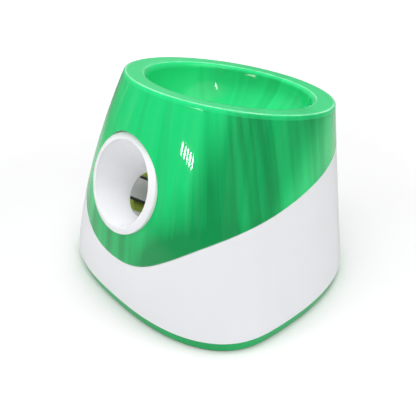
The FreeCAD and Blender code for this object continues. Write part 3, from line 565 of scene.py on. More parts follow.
@dataclass(frozen=True)
class Finish:
    """A material's common numbers. Lengths of its patterns are in mm."""

    name: str
    colour: str
    roughness: float
    slot: str

    def material(self) -> bpy.types.Material:
        """Finds the finish's material, or makes it the first time.

        Returns:
            The material.
        """
        found = bpy.data.materials.get(self.name)
        if found:
            return found
        made = bpy.data.materials.new(self.name)
        made.use_nodes = True
        tree = made.node_tree
        tree.nodes.clear()
        place = add_node(tree, "TexCoord").outputs["Object"]
        shader = add_node(tree, "BsdfPrincipled",
                          {"Roughness": self.roughness, "Base Color": linear(self.colour)})
        add_node(tree, "OutputMaterial", {"Surface": shader})
        self.fill(tree, shader, place)
        return made

    def fill(self, tree: Tree, shader: Node, place: Socket) -> None:
        """Adds the finish's own nodes; each kind of finish has its own.

        Args:
            tree: the material's node tree.
            shader: its principled shader.
            place: the object's own coordinates.
        """
        raise NotImplementedError


@dataclass(frozen=True)
class MouldedGloss(Finish):
    """ABS from a polished mould: clear gloss, a very shallow orange peel and faint handling marks. Its colour
    carries painted reflections, streaks of deeper colour that run up the wall, and painted shade and light
    over whole sides."""

    deep: str = "#000000"      # colour of the painted shade and reflection streaks at their deepest
    painted_shade_share: float = 0.35         # how much of the deep colour the painted shade and reflection streaks reach
    peel: float = 9.0          # wavelength of the orange peel
    peel_depth: float = 0.012
    wipe: float = 0.03         # how much handling marks dull it
    coat: float = 0.3
    ior: float = 1.47
    low: float = 0.0           # extra painted shade towards the foot

    def fill(self, tree: Tree, shader: Node, place: Socket) -> None:
        """Painted reflection streaks and painted shade in the colour, wipe marks in the roughness, orange
        peel as bump.
        """
        painted_shade = self._painted_shade_and_reflections(tree, place)
        share = add_node(tree, "MapRange", {0: painted_shade, 1: 0.0, 2: 1.0, 3: 0.0, 4: self.painted_shade_share})
        tint = add_node(tree, "Mix", {0: share, 6: linear(self.colour), 7: linear(self.deep)},
                        data_type="RGBA").outputs[2]
        drawn = add_node(tree, "Mapping", {"Vector": place, "Scale": (1.0, 1.0, 0.12)})
        wipe = add_node(tree, "TexNoise", {"Vector": drawn, "Scale": 1 / 0.004, "Detail": 4.0})
        dulled = self.roughness + self.wipe
        gloss = add_node(tree, "MapRange", {0: wipe, 1: 0.35, 2: 0.75, 3: self.roughness, 4: dulled})
        peel = add_node(tree, "TexNoise", {"Vector": place, "Scale": 1000 / self.peel, "Detail": 1.0})
        bump = add_node(tree, "Bump", {"Height": peel, "Distance": self.peel_depth * MM, "Strength": 1.0})
        tree.links.new(self.with_painted_highlights(tree, tint, place), shader.inputs["Base Color"])
        tree.links.new(gloss.outputs[0], shader.inputs["Roughness"])
        tree.links.new(bump.outputs[0], shader.inputs["Normal"])
        shader.inputs["IOR"].default_value = self.ior
        shader.inputs["Coat Weight"].default_value = self.coat
        shader.inputs["Coat Roughness"].default_value = 0.03

    def _painted_shade_and_reflections(self, tree: Tree, place: Socket) -> Node:
        """Painted shade and reflections: noise on the direction round the housing's middle, so that its
        streaks of painted reflection run up the wall, plus slow leans of painted shade and light over whole
        sides.

        Args:
            tree: the material's node tree.
            place: the object's own coordinates.

        Returns:
            The node whose first output is the painted shade, 0 for clear and 1 for deep.
        """
        middle = (0.0, -HOUSING.middle[3] * MM, 0.0)
        flat = add_node(tree, "VectorMath", {0: place, 1: (1.0, 1.0, 0.0), 2: middle},
                        operation="MULTIPLY_ADD")
        around = add_node(tree, "VectorMath", {0: flat}, operation="NORMALIZE")
        rise = add_node(tree, "VectorMath", {0: place, 1: (0.0, 0.0, 0.05)}, operation="MULTIPLY")
        flow = add_node(tree, "VectorMath", {0: around, 1: (0.14, 0.14, 0.0), 2: rise},
                        operation="MULTIPLY_ADD")
        reflection_streak = add_node(tree, "TexNoise",
                          {"Vector": flow, "Scale": 1 / 0.020, "Detail": 3.0, "Roughness": 0.55})
        depth = add_node(tree, "MapRange", {0: reflection_streak, 1: 0.38, 2: 0.64, 3: -0.26, 4: 0.26})
        far = add_node(tree, "VectorMath", {0: place, 1: (6.4, 7.7, -5.0)},
                       operation="DOT_PRODUCT").outputs["Value"]
        up = add_node(tree, "SeparateXYZ", {0: add_node(tree, "TexCoord").outputs["Normal"]}).outputs["Z"]
        height = add_node(tree, "SeparateXYZ", {0: place}).outputs["Z"]
        shade_leans = ((far, -1.40, -0.90, -0.10, 0.80),          # painted shade, deeper to the right, away from the outlet
                 (far, -0.30, 0.25, 0.0, -0.70),            # painted light, clearing again round the far side
                 (up, 0.5, 0.9, 0.0, -0.60),                # painted light, clearer where the face looks up
                 (height, 0.085, 0.150, self.low, 0.0))     # painted shade, deeper at the foot
        for source, start, end, first, last in shade_leans:
            shade_lean = add_node(tree, "MapRange", {0: source, 1: start, 2: end, 3: first, 4: last},
                            interpolation_type="SMOOTHSTEP")
            depth = add_node(tree, "Math", {0: depth, 1: shade_lean}, operation="ADD")
        return depth

    def with_painted_highlights(self, tree: Tree, tint: Socket, place: Socket) -> Socket:
        """Returns the tint as it is; a finish with painted edge highlights mixes them in here."""
        return tint


# painted highlights on the crease and the mouth: radius, height over the rim plane and half width in mm, and
# strength
RIM_HIGHLIGHTS = ((118.3, -1.1, 1.5, 0.9), (98.6, -1.5, 1.5, 0.55))


@dataclass(frozen=True)
class HighlightPaintedGloss(MouldedGloss):
    """The same gloss on the big mouldings, with painted highlights: pale lines painted along the rim's
    crease, the bowl's mouth and the S-shaped joint, where their crisp edges catch the light."""

    # colour of the painted highlights
    highlight_colour: str = "#A4F2CA"
    seam_full: float = 0.5     # mm over the joint up to which its painted highlight is full
    seam_gone: float = 1.1     # and at which it has faded
    seam_highlight_strength: float = 0.30

    def with_painted_highlights(self, tree: Tree, tint: Socket, place: Socket) -> Socket:
        """Mixes in the painted highlight colour by the distance to each edge line, broken up a little along
        it.

        Args:
            tree: the material's node tree.
            tint: the colour so far.
            place: the object's own coordinates.

        Returns:
            The socket with the colour and its painted highlights.
        """
        highlight_mask = self._highlight_circle(tree, place, *RIM_HIGHLIGHTS[0])
        for line in [self._highlight_circle(tree, place, *line) for line in RIM_HIGHLIGHTS[1:]] + [self._seam_highlight(tree, place)]:
            highlight_mask = add_node(tree, "Math", {0: highlight_mask, 1: line}, operation="MAXIMUM")
        patch = add_node(tree, "TexNoise", {"Vector": place, "Scale": 1 / 0.030, "Detail": 2.0})
        uneven = add_node(tree, "MapRange", {0: patch, 1: 0.40, 2: 0.62, 3: 0.45, 4: 1.0})
        share = add_node(tree, "Math", {0: highlight_mask, 1: uneven}, operation="MULTIPLY")
        return add_node(tree, "Mix", {0: share, 6: tint, 7: linear(self.highlight_colour)}, data_type="RGBA").outputs[2]

    def _highlight_circle(self, tree: Tree, place: Socket, radius: float, height: float, half: float,
                strength: float) -> Node:
        """Marks the painted highlight round a circle in the rim's frame.

        Args:
            tree: the material's node tree.
            place: the object's own coordinates.
            radius: the circle's radius in mm.
            height: its height over the rim plane in mm.
            half: distance in mm at which the mark ends.
            strength: the mark's value on the circle.

        Returns:
            The node whose first output is the mark.
        """
        turned = add_node(tree, "Mapping", {"Vector": place, "Location": [c * MM for c in RIM_CENTRE],
                                            "Rotation": (-math.radians(HOUSING.rim_tilt), 0.0, 0.0)},
                          vector_type="TEXTURE")
        flat = add_node(tree, "VectorMath", {0: turned, 1: (1.0, 1.0, 0.0)}, operation="MULTIPLY")
        reach = add_node(tree, "VectorMath", {0: flat}, operation="LENGTH").outputs["Value"]
        rise = add_node(tree, "SeparateXYZ", {0: turned}).outputs["Z"]
        both = add_node(tree, "CombineXYZ", {0: reach, 1: rise})
        away = add_node(tree, "VectorMath", {0: both, 1: (radius * MM, height * MM, 0.0)},
                        operation="DISTANCE").outputs["Value"]
        return add_node(tree, "MapRange", {0: away, 1: 0.5 * half * MM, 2: half * MM, 3: strength, 4: 0.0})

    def _seam_highlight(self, tree: Tree, place: Socket) -> Node:
        """Marks the painted highlight over the first millimetre above the S-shaped joint: seam_height as
        nodes.

        Args:
            tree: the material's node tree.
            place: the object's own coordinates.

        Returns:
            The node whose first output is the mark.
        """
        part = add_node(tree, "SeparateXYZ", {0: place})
        y, z = part.outputs["Y"], part.outputs["Z"]
        power = add_node(tree, "Math", {0: y, 1: -1000 / SEAM_FADE, 2: -SEAM_FRONT / SEAM_FADE},
                         operation="MULTIPLY_ADD")
        fade = add_node(tree, "Math", {0: power}, operation="EXPONENT")
        over = add_node(tree, "Math", {0: fade, 1: SEAM_DIP * MM, 2: z}, operation="MULTIPLY_ADD")
        over = add_node(tree, "Math", {0: y, 1: -SEAM_SLOPE, 2: over}, operation="MULTIPLY_ADD")
        full, gone = (SEAM_LEVEL + self.seam_full) * MM, (SEAM_LEVEL + self.seam_gone) * MM
        return add_node(tree, "MapRange", {0: over, 1: full, 2: gone, 3: self.seam_highlight_strength, 4: 0.0})


@dataclass(frozen=True)
class MouldedSatin(Finish):
    """Engineering plastic from a spark-eroded mould: an even fine grain that scatters the highlight."""

    grain: float = 0.9         # real grain is about 0.2 mm; drawn coarser so that it shows
    depth: float = 0.03
    ior: float = 1.5

    def fill(self, tree: Tree, shader: Node, place: Socket) -> None:
        """Bump from a tight noise, roughness and shade from a slow one."""
        grain = add_node(tree, "TexNoise", {"Vector": place, "Scale": 1000 / self.grain, "Detail": 2.0})
        bump = add_node(tree, "Bump", {"Height": grain, "Distance": self.depth * MM})
        slow = add_node(tree, "TexNoise", {"Vector": place, "Scale": 45.0, "Detail": 2.0})
        dull = add_node(tree, "MapRange", {0: slow, 3: self.roughness - 0.06, 4: self.roughness + 0.08})
        value = add_node(tree, "MapRange", {0: slow, 3: 0.93, 4: 1.05})
        shade = add_node(tree, "HueSaturation", {"Color": linear(self.colour), "Value": value})
        for made, name in ((shade, "Base Color"), (dull, "Roughness"), (bump, "Normal")):
            tree.links.new(made.outputs[0], shader.inputs[name])
        shader.inputs["IOR"].default_value = self.ior


@dataclass(frozen=True)
class PlatedMetal(Finish):
    """Bright plated or drawn metal: fine lines one way, a little dulling in patches."""

    line: float = 0.5
    stretch: tuple[float, float, float] = (1.0, 1.0, 0.06)

    def fill(self, tree: Tree, shader: Node, place: Socket) -> None:
        """Noise stretched along one direction gives the drawn lines; a slow noise gives the patches."""
        drawn = add_node(tree, "Mapping", {"Vector": place, "Scale": self.stretch})
        lines = add_node(tree, "TexNoise", {"Vector": drawn, "Scale": 1000 / self.line, "Detail": 2.0})
        bump = add_node(tree, "Bump", {"Height": lines, "Distance": 0.01 * MM})
        patch = add_node(tree, "TexNoise", {"Vector": place, "Scale": 60.0, "Detail": 3.0})
        dull = add_node(tree, "MapRange", {0: patch, 3: self.roughness - 0.08, 4: self.roughness + 0.12})
        tree.links.new(dull.outputs[0], shader.inputs["Roughness"])
        tree.links.new(bump.outputs[0], shader.inputs["Normal"])
        shader.inputs["Metallic"].default_value = 1.0


@dataclass(frozen=True)
class SoftRubber(Finish):
    """Black moulded rubber: matt, with a soft sheen and a faint bloom."""

    bloom: str = "#4A4B4D"

    def fill(self, tree: Tree, shader: Node, place: Socket) -> None:
        """Bloom lightens the colour in slow patches; a fine noise makes the skin."""
        slow = add_node(tree, "TexNoise", {"Vector": place, "Scale": 120.0, "Detail": 3.0})
        part = add_node(tree, "MapRange", {0: slow, 1: 0.4, 2: 0.9, 4: 0.5})
        tint = add_node(tree, "Mix", {0: part, 6: linear(self.colour), 7: linear(self.bloom)},
                        data_type="RGBA")
        skin = add_node(tree, "TexNoise", {"Vector": place, "Scale": 1500.0})
        bump = add_node(tree, "Bump", {"Height": skin, "Distance": 0.03 * MM})
        tree.links.new(tint.outputs[2], shader.inputs["Base Color"])
        tree.links.new(bump.outputs[0], shader.inputs["Normal"])
        shader.inputs["Sheen Weight"].default_value = 0.15


class Finishes(Enum):
    """The object's finishes."""

    GREEN = MouldedGloss("green_moulded_abs", "#1DD176", 0.04, "green_abs", deep="#0E8545", painted_shade_share=0.9)
    SHELL = HighlightPaintedGloss("green_moulded_abs_painted_highlights", "#1DD176", 0.04, "green_abs",
                           deep="#0E8545", painted_shade_share=0.9, low=0.75)
    # the shell's green painted lighter, standing in for light inside the bowl
    BOWL = HighlightPaintedGloss("green_moulded_abs_bowl_painted_light", "#2ADA82", 0.04, "green_abs",
                          deep="#109A50", painted_shade_share=0.6, coat=0.0, ior=1.42)
    BAND = MouldedGloss("green_base_abs", "#14B463", 0.28, "green_abs",
                        deep="#0E8545", painted_shade_share=0.3, coat=0.0, ior=1.38)
    WHITE = MouldedGloss("white_moulded_abs", "#E7E8EB", 0.26, "white_abs",
                         deep="#E2E3E6", wipe=0.01, coat=0.0, ior=1.38)
    RING = MouldedGloss("white_outlet_abs", "#EDEEF1", 0.22, "white_abs", deep="#E6E7EA", coat=0.15)
    BARREL = MouldedSatin("pale_barrel_abs", "#E9EBEC", 0.30, "barrel_white")
    OLIVE = MouldedSatin("olive_sleeve_abs", "#A9C047", 0.35, "olive_abs")
    FRAME = MouldedSatin("grey_glass_filled_nylon", "#8F9498", 0.55, "frame_grey")
    ACETAL = MouldedSatin("natural_acetal", "#EDEBE4", 0.38, "acetal_white", ior=1.48)
    STRIKER = MouldedSatin("grey_nylon", "#C9CBCE", 0.42, "striker_grey")
    PAD = SoftRubber("soft_buffer_rubber", "#303234", 0.8, "pad_rubber")
    FOOT = SoftRubber("foot_rubber", "#2A2B2D", 0.75, "foot_rubber")
    SPRING = PlatedMetal("drawn_spring_steel", "#A9ADB1", 0.3, "spring_steel")
    ZINC = PlatedMetal("zinc_plated_steel", "#B9BCC0", 0.38, "zinc_steel")
    MOTOR = PlatedMetal("plated_motor_can", "#9A9DA1", 0.33, "motor_steel")
    GEARBOX = PlatedMetal("die_cast_alloy", "#8D9196", 0.45, "gearbox_alloy", stretch=(1.0, 1.0, 1.0))
    BLACK = MouldedSatin("black_nylon", "#1E2022", 0.45, "black_plastic")
    BOARD = MouldedSatin("green_solder_mask", "#1F6B3F", 0.4, "board_green", grain=2.0)
    LENS = MouldedGloss("clear_light_pipe", "#BFE8B8", 0.12, "lens_clear", deep="#A9DDA2")
    BUTTON = MouldedSatin("button_abs", "#E4E6E8", 0.3, "button_white")


def finish_piece(piece: Piece, look: Finishes, body: str, *nodes: str) -> Piece:
    """Dresses a new piece, puts it on its body and says which CAD nodes it stands for.

    Args:
        piece: the new object.
        look: its finish.
        body: CAD body it rides on.
        nodes: CAD nodes it replaces.

    Returns:
        The same object.
    """
    piece.data.materials.clear()
    piece.data.materials.append(look.value.material())
    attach(piece, body)
    if nodes:
        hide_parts(*nodes)
    LOG.info("%s: %d faces, %s", piece.name, len(piece.data.polygons), look.value.name)
    return piece


# ------------------------------------------------------------------ outer pieces
OUTLET = leaned((0.0, -133.358, 154.0), 70.0)
BARREL_TURN = math.radians(-38.0)
INWARD = np.array([0.0, math.cos(BARREL_TURN), math.sin(BARREL_TURN)])
CONE_LONG = 41.0                                     # from the ring's middle to the hole, along the barrel
HOLE = Ring(OUTLET.centre + CONE_LONG * INWARD, AXIS_X,
            np.array([0.0, -math.sin(BARREL_TURN), math.cos(BARREL_TURN)]), -INWARD)
RIM = leaned(RIM_CENTRE, -HOUSING.rim_tilt)
PANEL, INLET = (Ring(np.array([0.0, y, z]), np.array([-1.0, 0.0, 0.0]), AXIS_Z, AXIS_Y)
                for y, z in ((151.16, 76.0), (153.31, 36.0)))


@dataclass
class UpperShell:
    """Green shell between the S-shaped joint and the rim, with the round port for the outlet."""

    gap: float = 0.14
    rim_drop: float = 5.48
    port: float = 55.12

    def build(self) -> None:
        """Builds the shell; its lower edge is halved for the lap joint."""
        wall = Wall(low=lambda t: HOUSING.share_where(t, lambda p: seam_height(p) - self.gap),
                    high=lambda t: HOUSING.share_where(t, lambda p: rim_height(p) + self.rim_drop),
                    openings=[Opening(OUTLET, self.port, window=(-128.0, -52.0, 0.10, 0.90))],
                    edge=0.35, top_edge=0.05, foot=((4.6, 2.95), (4.6, 1.6), (0.3, 1.5), (0.05, 1.2)))
        finish_piece(wall.build("upper_shell_skin"), Finishes.SHELL, "body", "upper_shell")


@dataclass
class LowerCasing:
    """White casing between the base band and the joint, with its lap tongue, posts and rear openings."""

    gap: float = 0.14
    posts: tuple[float, ...] = (-118.0, -62.0, 0.0, 52.0, 128.0, 180.0)     # turns round the housing, degrees
    post_inset: float = 13.0
    post_sides: int = 28
    post: tuple[tuple[float, float], ...] = (     # radius and height, from the closed top to the pilot hole
        (0.02, 43.9), (5.0, 43.9), (5.45, 43.4), (5.5, 10.3), (5.2, 10.0),
        (1.9, 10.0), (1.65, 10.3), (1.65, 31.8), (0.02, 32.0))

    def build(self) -> None:
        """Builds the wall and the screw posts inside it."""
        wall = Wall(low=lambda t: np.zeros(t.shape),
                    high=lambda t: HOUSING.share_where(t, lambda p: seam_height(p) + self.gap),
                    openings=[Opening(PANEL, 18.3, 20.0, window=(76.0, 104.0, 0.22, 0.62)),
                              Opening(INLET, 8.3, window=(85.0, 95.0, 0.055, 0.215))],
                    edge=0.45,
                    head=((-0.1, 1.3), (0.0, 1.85), (3.8, 1.9), (4.0, 2.1), (4.0, 2.8), (3.8, 3.0)))
        finish_piece(wall.build("lower_casing_wall"), Finishes.WHITE, "body", "lower_casing")
        finish_piece(self._post_mesh(), Finishes.WHITE, "body")

    def _post_mesh(self) -> Piece:
        """Turns the posts' profile round each axis.

        Returns:
            One object with every post.
        """
        sides, rows = self.post_sides, len(self.post)
        turn = np.arange(sides) * TAU / sides
        points, quads = [], []
        for k, degrees in enumerate(self.posts):
            spot = HOUSING.point(np.array([math.radians(degrees)]), np.zeros(1), self.post_inset)[0]
            ring = Ring(np.array([spot[0], spot[1], 0.0]), AXIS_X, AXIS_Y, AXIS_Z)
            points += [ring.circle(turn, r, z) for r, z in self.post]
            quads.append(MeshKit.ring_quads(rows, sides, True, k * rows * sides)[:, ::-1])
        return MeshKit.build("casing_posts", np.concatenate(points), np.concatenate(quads))


@dataclass
class HopperBowl:
    """Bowl with a broad rolled rim; the dish slides forward as it deepens, down to the ball hole."""

    mouth_r: float = 94.0
    floor_z: float = 152.0
    hole_y: float = -35.414
    hole_r: float = 28.0
    wall: float = 2.8
    roll: float = 1.7
    mouth_roll: float = 7.0
    mouth_drop: float = 0.3    # the rim's face falls this much from its crease to the bowl
    sunk: float = 0.55         # the face lies this far under the rim plane
    rim_drop: float = 5.44
    columns: int = 360
    neck: tuple[tuple[float, float], ...] = (     # widening and height of the neck's rings
        (0.0, -9.5), (0.3, -9.9), (2.1, -9.9), (2.4, -9.5), (2.4, -3.0))
    skirt: tuple[tuple[float, float], ...] = (    # depth under rim_drop and inset of the skirt's rings
        (0.0, 14.0), (0.0, 5.5), (5.5, 5.4), (6.0, 4.9), (5.5, 3.3), (0.0, 3.3))

    def _dish(self, turn: Array, share: float, grow: float = 0.0, drop: float = 0.0) -> Array:
        """Ring of the dish. At depth share d the radius share is (1 - d^2.2)^(1/1.6) and the middle moves
        to the hole with both shares; near the mouth a quarter round flares the wall into the rim.

        Args:
            turn: angles.
            share: depth share, 0 at the mouth and 1 at the floor.
            grow: mm the ring is widened, for the underside.
            drop: mm it is lowered, for the underside.

        Returns:
            Points in mm.
        """
        spread = max(1 - share ** 2.2, 0.0) ** (1 / 1.6)
        mouth = RIM.centre - (self.mouth_drop + self.sunk) * RIM.out
        hole = np.array([0.0, self.hole_y, self.floor_z])
        centre = hole + (mouth - hole) * (0.25 * (1 - share) + 0.75 * spread)
        centre[2] = hole[2] + (mouth[2] - hole[2]) * (1 - share) - drop
        depth = share * (mouth[2] - hole[2])
        radius = self.hole_r + (self.mouth_r - self.hole_r) * spread + grow
        if depth < self.mouth_roll and not grow:
            radius += self.mouth_roll - math.sqrt(self.mouth_roll ** 2 - (self.mouth_roll - depth) ** 2)
        return leaned(centre, -HOUSING.rim_tilt * (1 - share)).circle(turn, radius)

    def _side(self, turn: Array, below: float, inset: float) -> Array:
        """Ring of the housing surface.

        Args:
            turn: angles in the rim's own plane.
            below: mm under the rim plane.
            inset: mm the ring is drawn in.

        Returns:
            Points in mm.
        """
        plan = np.arctan2(np.sin(turn) * math.cos(math.radians(HOUSING.rim_tilt)), np.cos(turn))
        s = HOUSING.share_where(plan, lambda p: rim_height(p) + below)
        return HOUSING.point(plan, s, inset)

    def build(self) -> None:
        """Builds the bowl as one skin: side, rim face, dish, neck, underside and skirt in turn."""
        turn = np.arange(self.columns) * TAU / self.columns
        rings = [self._side(turn, self.rim_drop - up, inset)
                 for up, inset in ((0.0, 0.05), (0.02, 0.01), (0.06, 0.0))]
        for a in np.radians(np.linspace(0, 78, 9)):
            below = min(self.sunk + self.roll * (1 - math.sin(a)), self.rim_drop - 0.5)
            rings.append(self._side(turn, below, self.roll * (1 - math.cos(a))))
        top, inner = HOUSING.rim_r - HOUSING.drawn_in - self.roll, self.mouth_r + self.mouth_roll
        for f in np.linspace(0.0, 1.0, 16):
            lift = -0.03 - self.sunk - self.mouth_drop * f * f
            rings.append(RIM.circle(turn, top + (inner + 1.0 - top) * f, lift))
        deep = RIM.centre[2] - self.mouth_drop - self.sunk - self.floor_z
        flare = [self.mouth_roll * (1 - math.sin(a)) / deep for a in np.radians(np.linspace(80, 4, 16))]
        first = 2 / math.pi * math.asin(self.mouth_roll / deep)
        wall = [math.sin(t * math.pi / 2) for t in np.linspace(first, 0.974, 46)]
        rings += [self._dish(turn, share) for share in flare + wall]
        hole = Ring(np.array([0.0, self.hole_y, self.floor_z]), AXIS_X, AXIS_Y, AXIS_Z)
        for a in np.radians(np.linspace(8, 90, 5)):
            rings.append(hole.circle(turn, self.hole_r + 1.5 * (1 - math.sin(a)), -1.5 * (1 - math.cos(a))))
        rings += [hole.circle(turn, self.hole_r + more, lift) for more, lift in self.neck]
        under = [math.sin(t * math.pi / 2) for t in np.linspace(0.97, 0.13, 30)]
        rings += [self._dish(turn, share, self.wall, self.wall * 0.75) for share in under]
        rings += [self._side(turn, self.rim_drop + more, inset) for more, inset in self.skirt]
        finish_piece(MeshKit.loops("hopper_bowl_skin", rings), Finishes.BOWL, "body", "hopper_bowl")


@dataclass
class OutletFunnel:
    """Ring in the shell's port with a cone that leads off-axis to the ball-sized hole, and a collar."""

    ring_r: float = 55.0
    mouth_r: float = 46.5
    hole_r: float = 26.5
    depth: float = 15.0
    soft: float = 1.1
    cone_wall: float = 2.8
    collar: float = 4.0
    face: tuple[float, float] = (-1.2, 1.3)      # height of the face over the ring plane, outside and inside
    columns: int = 256

    def _cone(self, turn: Array, t: float, grow: float = 0.0) -> Array:
        """Ring of the cone, on the straight line from the mouth circle to the hole circle.

        Args:
            turn: angles.
            t: share of the way, 0 at the mouth and 1 at the hole.
            grow: mm both circles are widened, for the outside.

        Returns:
            Points in mm.
        """
        start = OUTLET.circle(turn, self.mouth_r + grow, -0.6)
        return start + t * (HOLE.circle(turn, self.hole_r + grow) - start)

    def build(self) -> None:
        """Builds ring, cone and collar as one skin."""
        turn = np.arange(self.columns) * TAU / self.columns
        soft, (low, high) = self.soft, self.face
        rings = [OUTLET.circle(turn, self.ring_r - less, lift) for less, lift in
                 ((3.0, -self.depth), (0.3, -self.depth), (0.0, -self.depth + 0.4), (0.0, low - 2 * soft))]
        for a in np.radians(np.linspace(0, 66, 6)):
            radius = self.ring_r - soft * (1 - math.cos(a))
            rings.append(OUTLET.circle(turn, radius, low - soft * (1 - math.sin(a))))
        outer, inner = self.ring_r - 0.8 * soft, self.mouth_r + 1.0
        for f in np.linspace(0.06, 1.0, 12):
            lift = low + (high - low) * f + 0.25 * math.sin(math.pi * f)
            rings.append(OUTLET.circle(turn, outer + (inner - outer) * f, lift))
        rings += [OUTLET.circle(turn, self.mouth_r + more, high - drop) for more, drop in
                  ((0.75, -0.02), (0.5, 0.05), (0.3, 0.18), (0.12, 0.40), (0.05, 0.7))]
        rings += [self._cone(turn, t) for t in np.linspace(0.02, 0.985, 30)]
        collar = ((-0.02, -0.3), (0.0, -1.4), (2.75, -1.5), (2.75, 0.2 - self.collar), (3.1, -self.collar),
                  (5.8, -self.collar), (6.1, 0.3 - self.collar), (6.1, 2.6), (5.8, 2.9))
        rings += [HOLE.circle(turn, self.hole_r + more, lift) for more, lift in collar]
        rings += [self._cone(turn, t, self.cone_wall) for t in np.linspace(0.9, 0.16, 14)]
        rings += [OUTLET.circle(turn, self.ring_r - 3.0, -6.3)]
        finish_piece(MeshKit.loops("outlet_ring_and_cone", rings), Finishes.RING, "body", "outlet_funnel")


@dataclass
class BarrelWindows:
    """Trim of the barrel's windows: dark strips of painted shadow along their edges, standing for the shaded
    gaps, and tongues of the coloured sleeve that reach through them to the launch hole. Angles are in degrees
    round the barrel, from +X."""

    bore: float = 26.48
    thick: float = 0.22
    start: float = 0.4         # from the hole, along the barrel
    shadow_strip_end: float = 42.0
    tongue_end: float = 5.6
    # spans of the dark strips that paint the shadow in the window gaps, then of the sleeve tongues
    shadow_strips: tuple[tuple[float, float], ...] = ((149.0, 156.0), (208.0, 216.0), (-36.0, -28.0), (24.0, 31.0))
    tongues: tuple[tuple[float, float], ...] = ((118.0, 149.0), (216.0, 246.0), (-66.0, -36.0), (31.0, 62.0))

    def _strip(self, span: tuple[float, float], end: float) -> tuple[Array, Array]:
        """Makes the grids of one strip of the bore.

        Args:
            span: its two edges, degrees round the barrel.
            end: where it stops, mm from the hole.

        Returns:
            Outer and inner grid.
        """
        turn = np.radians(np.linspace(*span, 9))
        depth = np.linspace(self.start, end, 12)
        return tuple(np.stack([HOLE.circle(turn, radius, -d) for d in depth])
                     for radius in (self.bore, self.bore - self.thick))

    def build(self) -> None:
        """Builds both sets of strips."""
        # the dark strips paint the shade in the window gaps
        for name, spans, end, look in (("window_shadow_strips", self.shadow_strips, self.shadow_strip_end, Finishes.PAD),
                                       ("sleeve_tongues", self.tongues, self.tongue_end, Finishes.OLIVE)):
            finish_piece(MeshKit.slabs(name, [self._strip(span, end) for span in spans]), look, "body")


@dataclass
class DriveSpring:
    """Compression spring between the striker and the cross plate, with a closed coil at each end.
    Distances run along the barrel from the outlet, in mm."""

    start: float = 104.1
    end: float = 199.95
    stroke: float = 50.89
    coil: float = 14.0
    wire: float = 1.1
    turns: float = 8.0
    steps: int = 28            # rings of points in each turn
    sides: int = 8
    seat: float = 200.0        # the cross plate's face
    span: float = 96.0         # from the striker to that face

    def build(self) -> None:
        """Helix whose pitch eases from closed to open and back, with a circle carried along it.

        The pitch weight is 1 in the closed turns and 6.6 in the open ones; its running sum, scaled to
        the length, gives the place along the barrel.
        """
        u = np.linspace(0.0, self.turns, int(self.turns * self.steps) + 1)
        weight = 1.0 + 5.6 * smooth_step((u - 0.8) / 0.4) * smooth_step((self.turns - 0.8 - u) / 0.4)
        rise = np.concatenate([[0.0], np.cumsum((weight[1:] + weight[:-1]) / 2)])
        low, high = self.start + self.wire, self.end - self.wire
        depth = low + (high - low) * rise / rise[-1]
        c, s = np.cos(u * TAU)[:, None], np.sin(u * TAU)[:, None]
        radial = c * HOLE.across + s * HOLE.up
        centre = OUTLET.centre + depth[:, None] * INWARD + self.coil * radial
        way = unit(np.gradient(centre, axis=0))
        radial = unit(radial - (radial * way).sum(-1, keepdims=True) * way)
        beside = np.cross(way, radial)
        a = (np.arange(self.sides) * TAU / self.sides)[None, :, None]
        points = centre[:, None] + self.wire * (np.cos(a) * radial[:, None] + np.sin(a) * beside[:, None])
        cap = np.array([[0, 1, 2, 3], [0, 3, 4, 7], [4, 5, 6, 7]])
        last = (len(u) - 1) * self.sides
        quads = np.concatenate([MeshKit.ring_quads(len(u), self.sides, False), cap[:, ::-1], cap + last])
        piece = MeshKit.build("drive_spring", points.reshape(-1, 3), quads)
        finish_piece(piece, Finishes.SPRING, "body", "striker_spring")
        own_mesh(piece)


# ------------------------------------------------------------------ pieces carried over from the CAD
@dataclass
class Dressing:
    """CAD nodes whose own shape is shown, each in its finish."""

    looks: dict[str, Finishes] = field(default_factory=lambda: {
        "base_tray": Finishes.BAND, "launch_barrel": Finishes.BARREL, "guide_sleeve": Finishes.OLIVE,
        "striker": Finishes.STRIKER, "striker_pad": Finishes.PAD, "spring_seat": Finishes.ZINC,
        "mechanism_frame": Finishes.FRAME, "sector_gear": Finishes.ACETAL, "gear_axle": Finishes.ZINC,
        "drive_pinion": Finishes.ZINC, "motor_bridge": Finishes.ZINC, "gearhead": Finishes.GEARBOX,
        "drive_motor": Finishes.MOTOR, "ball_lever": Finishes.ACETAL, "lever_pin": Finishes.ZINC,
        "micro_switch": Finishes.BLACK, "control_board": Finishes.BOARD, "power_button": Finishes.BUTTON,
        "indicator_lenses": Finishes.LENS, "control_bezel": Finishes.GREEN, "dc_inlet": Finishes.BLACK,
        "rubber_feet": Finishes.FOOT, "casing_screws": Finishes.ZINC, "frame_screws": Finishes.ZINC,
        "bridge_screws": Finishes.ZINC})

    def apply(self, nodes: dict[str, Piece]) -> None:
        """Assigns each node's finish to its object's material slots."""
        for name, look in self.looks.items():
            for slot in nodes[name].material_slots:
                slot.material = look.value.material()
            LOG.info("%s: dressed in %s", name, look.value.name)


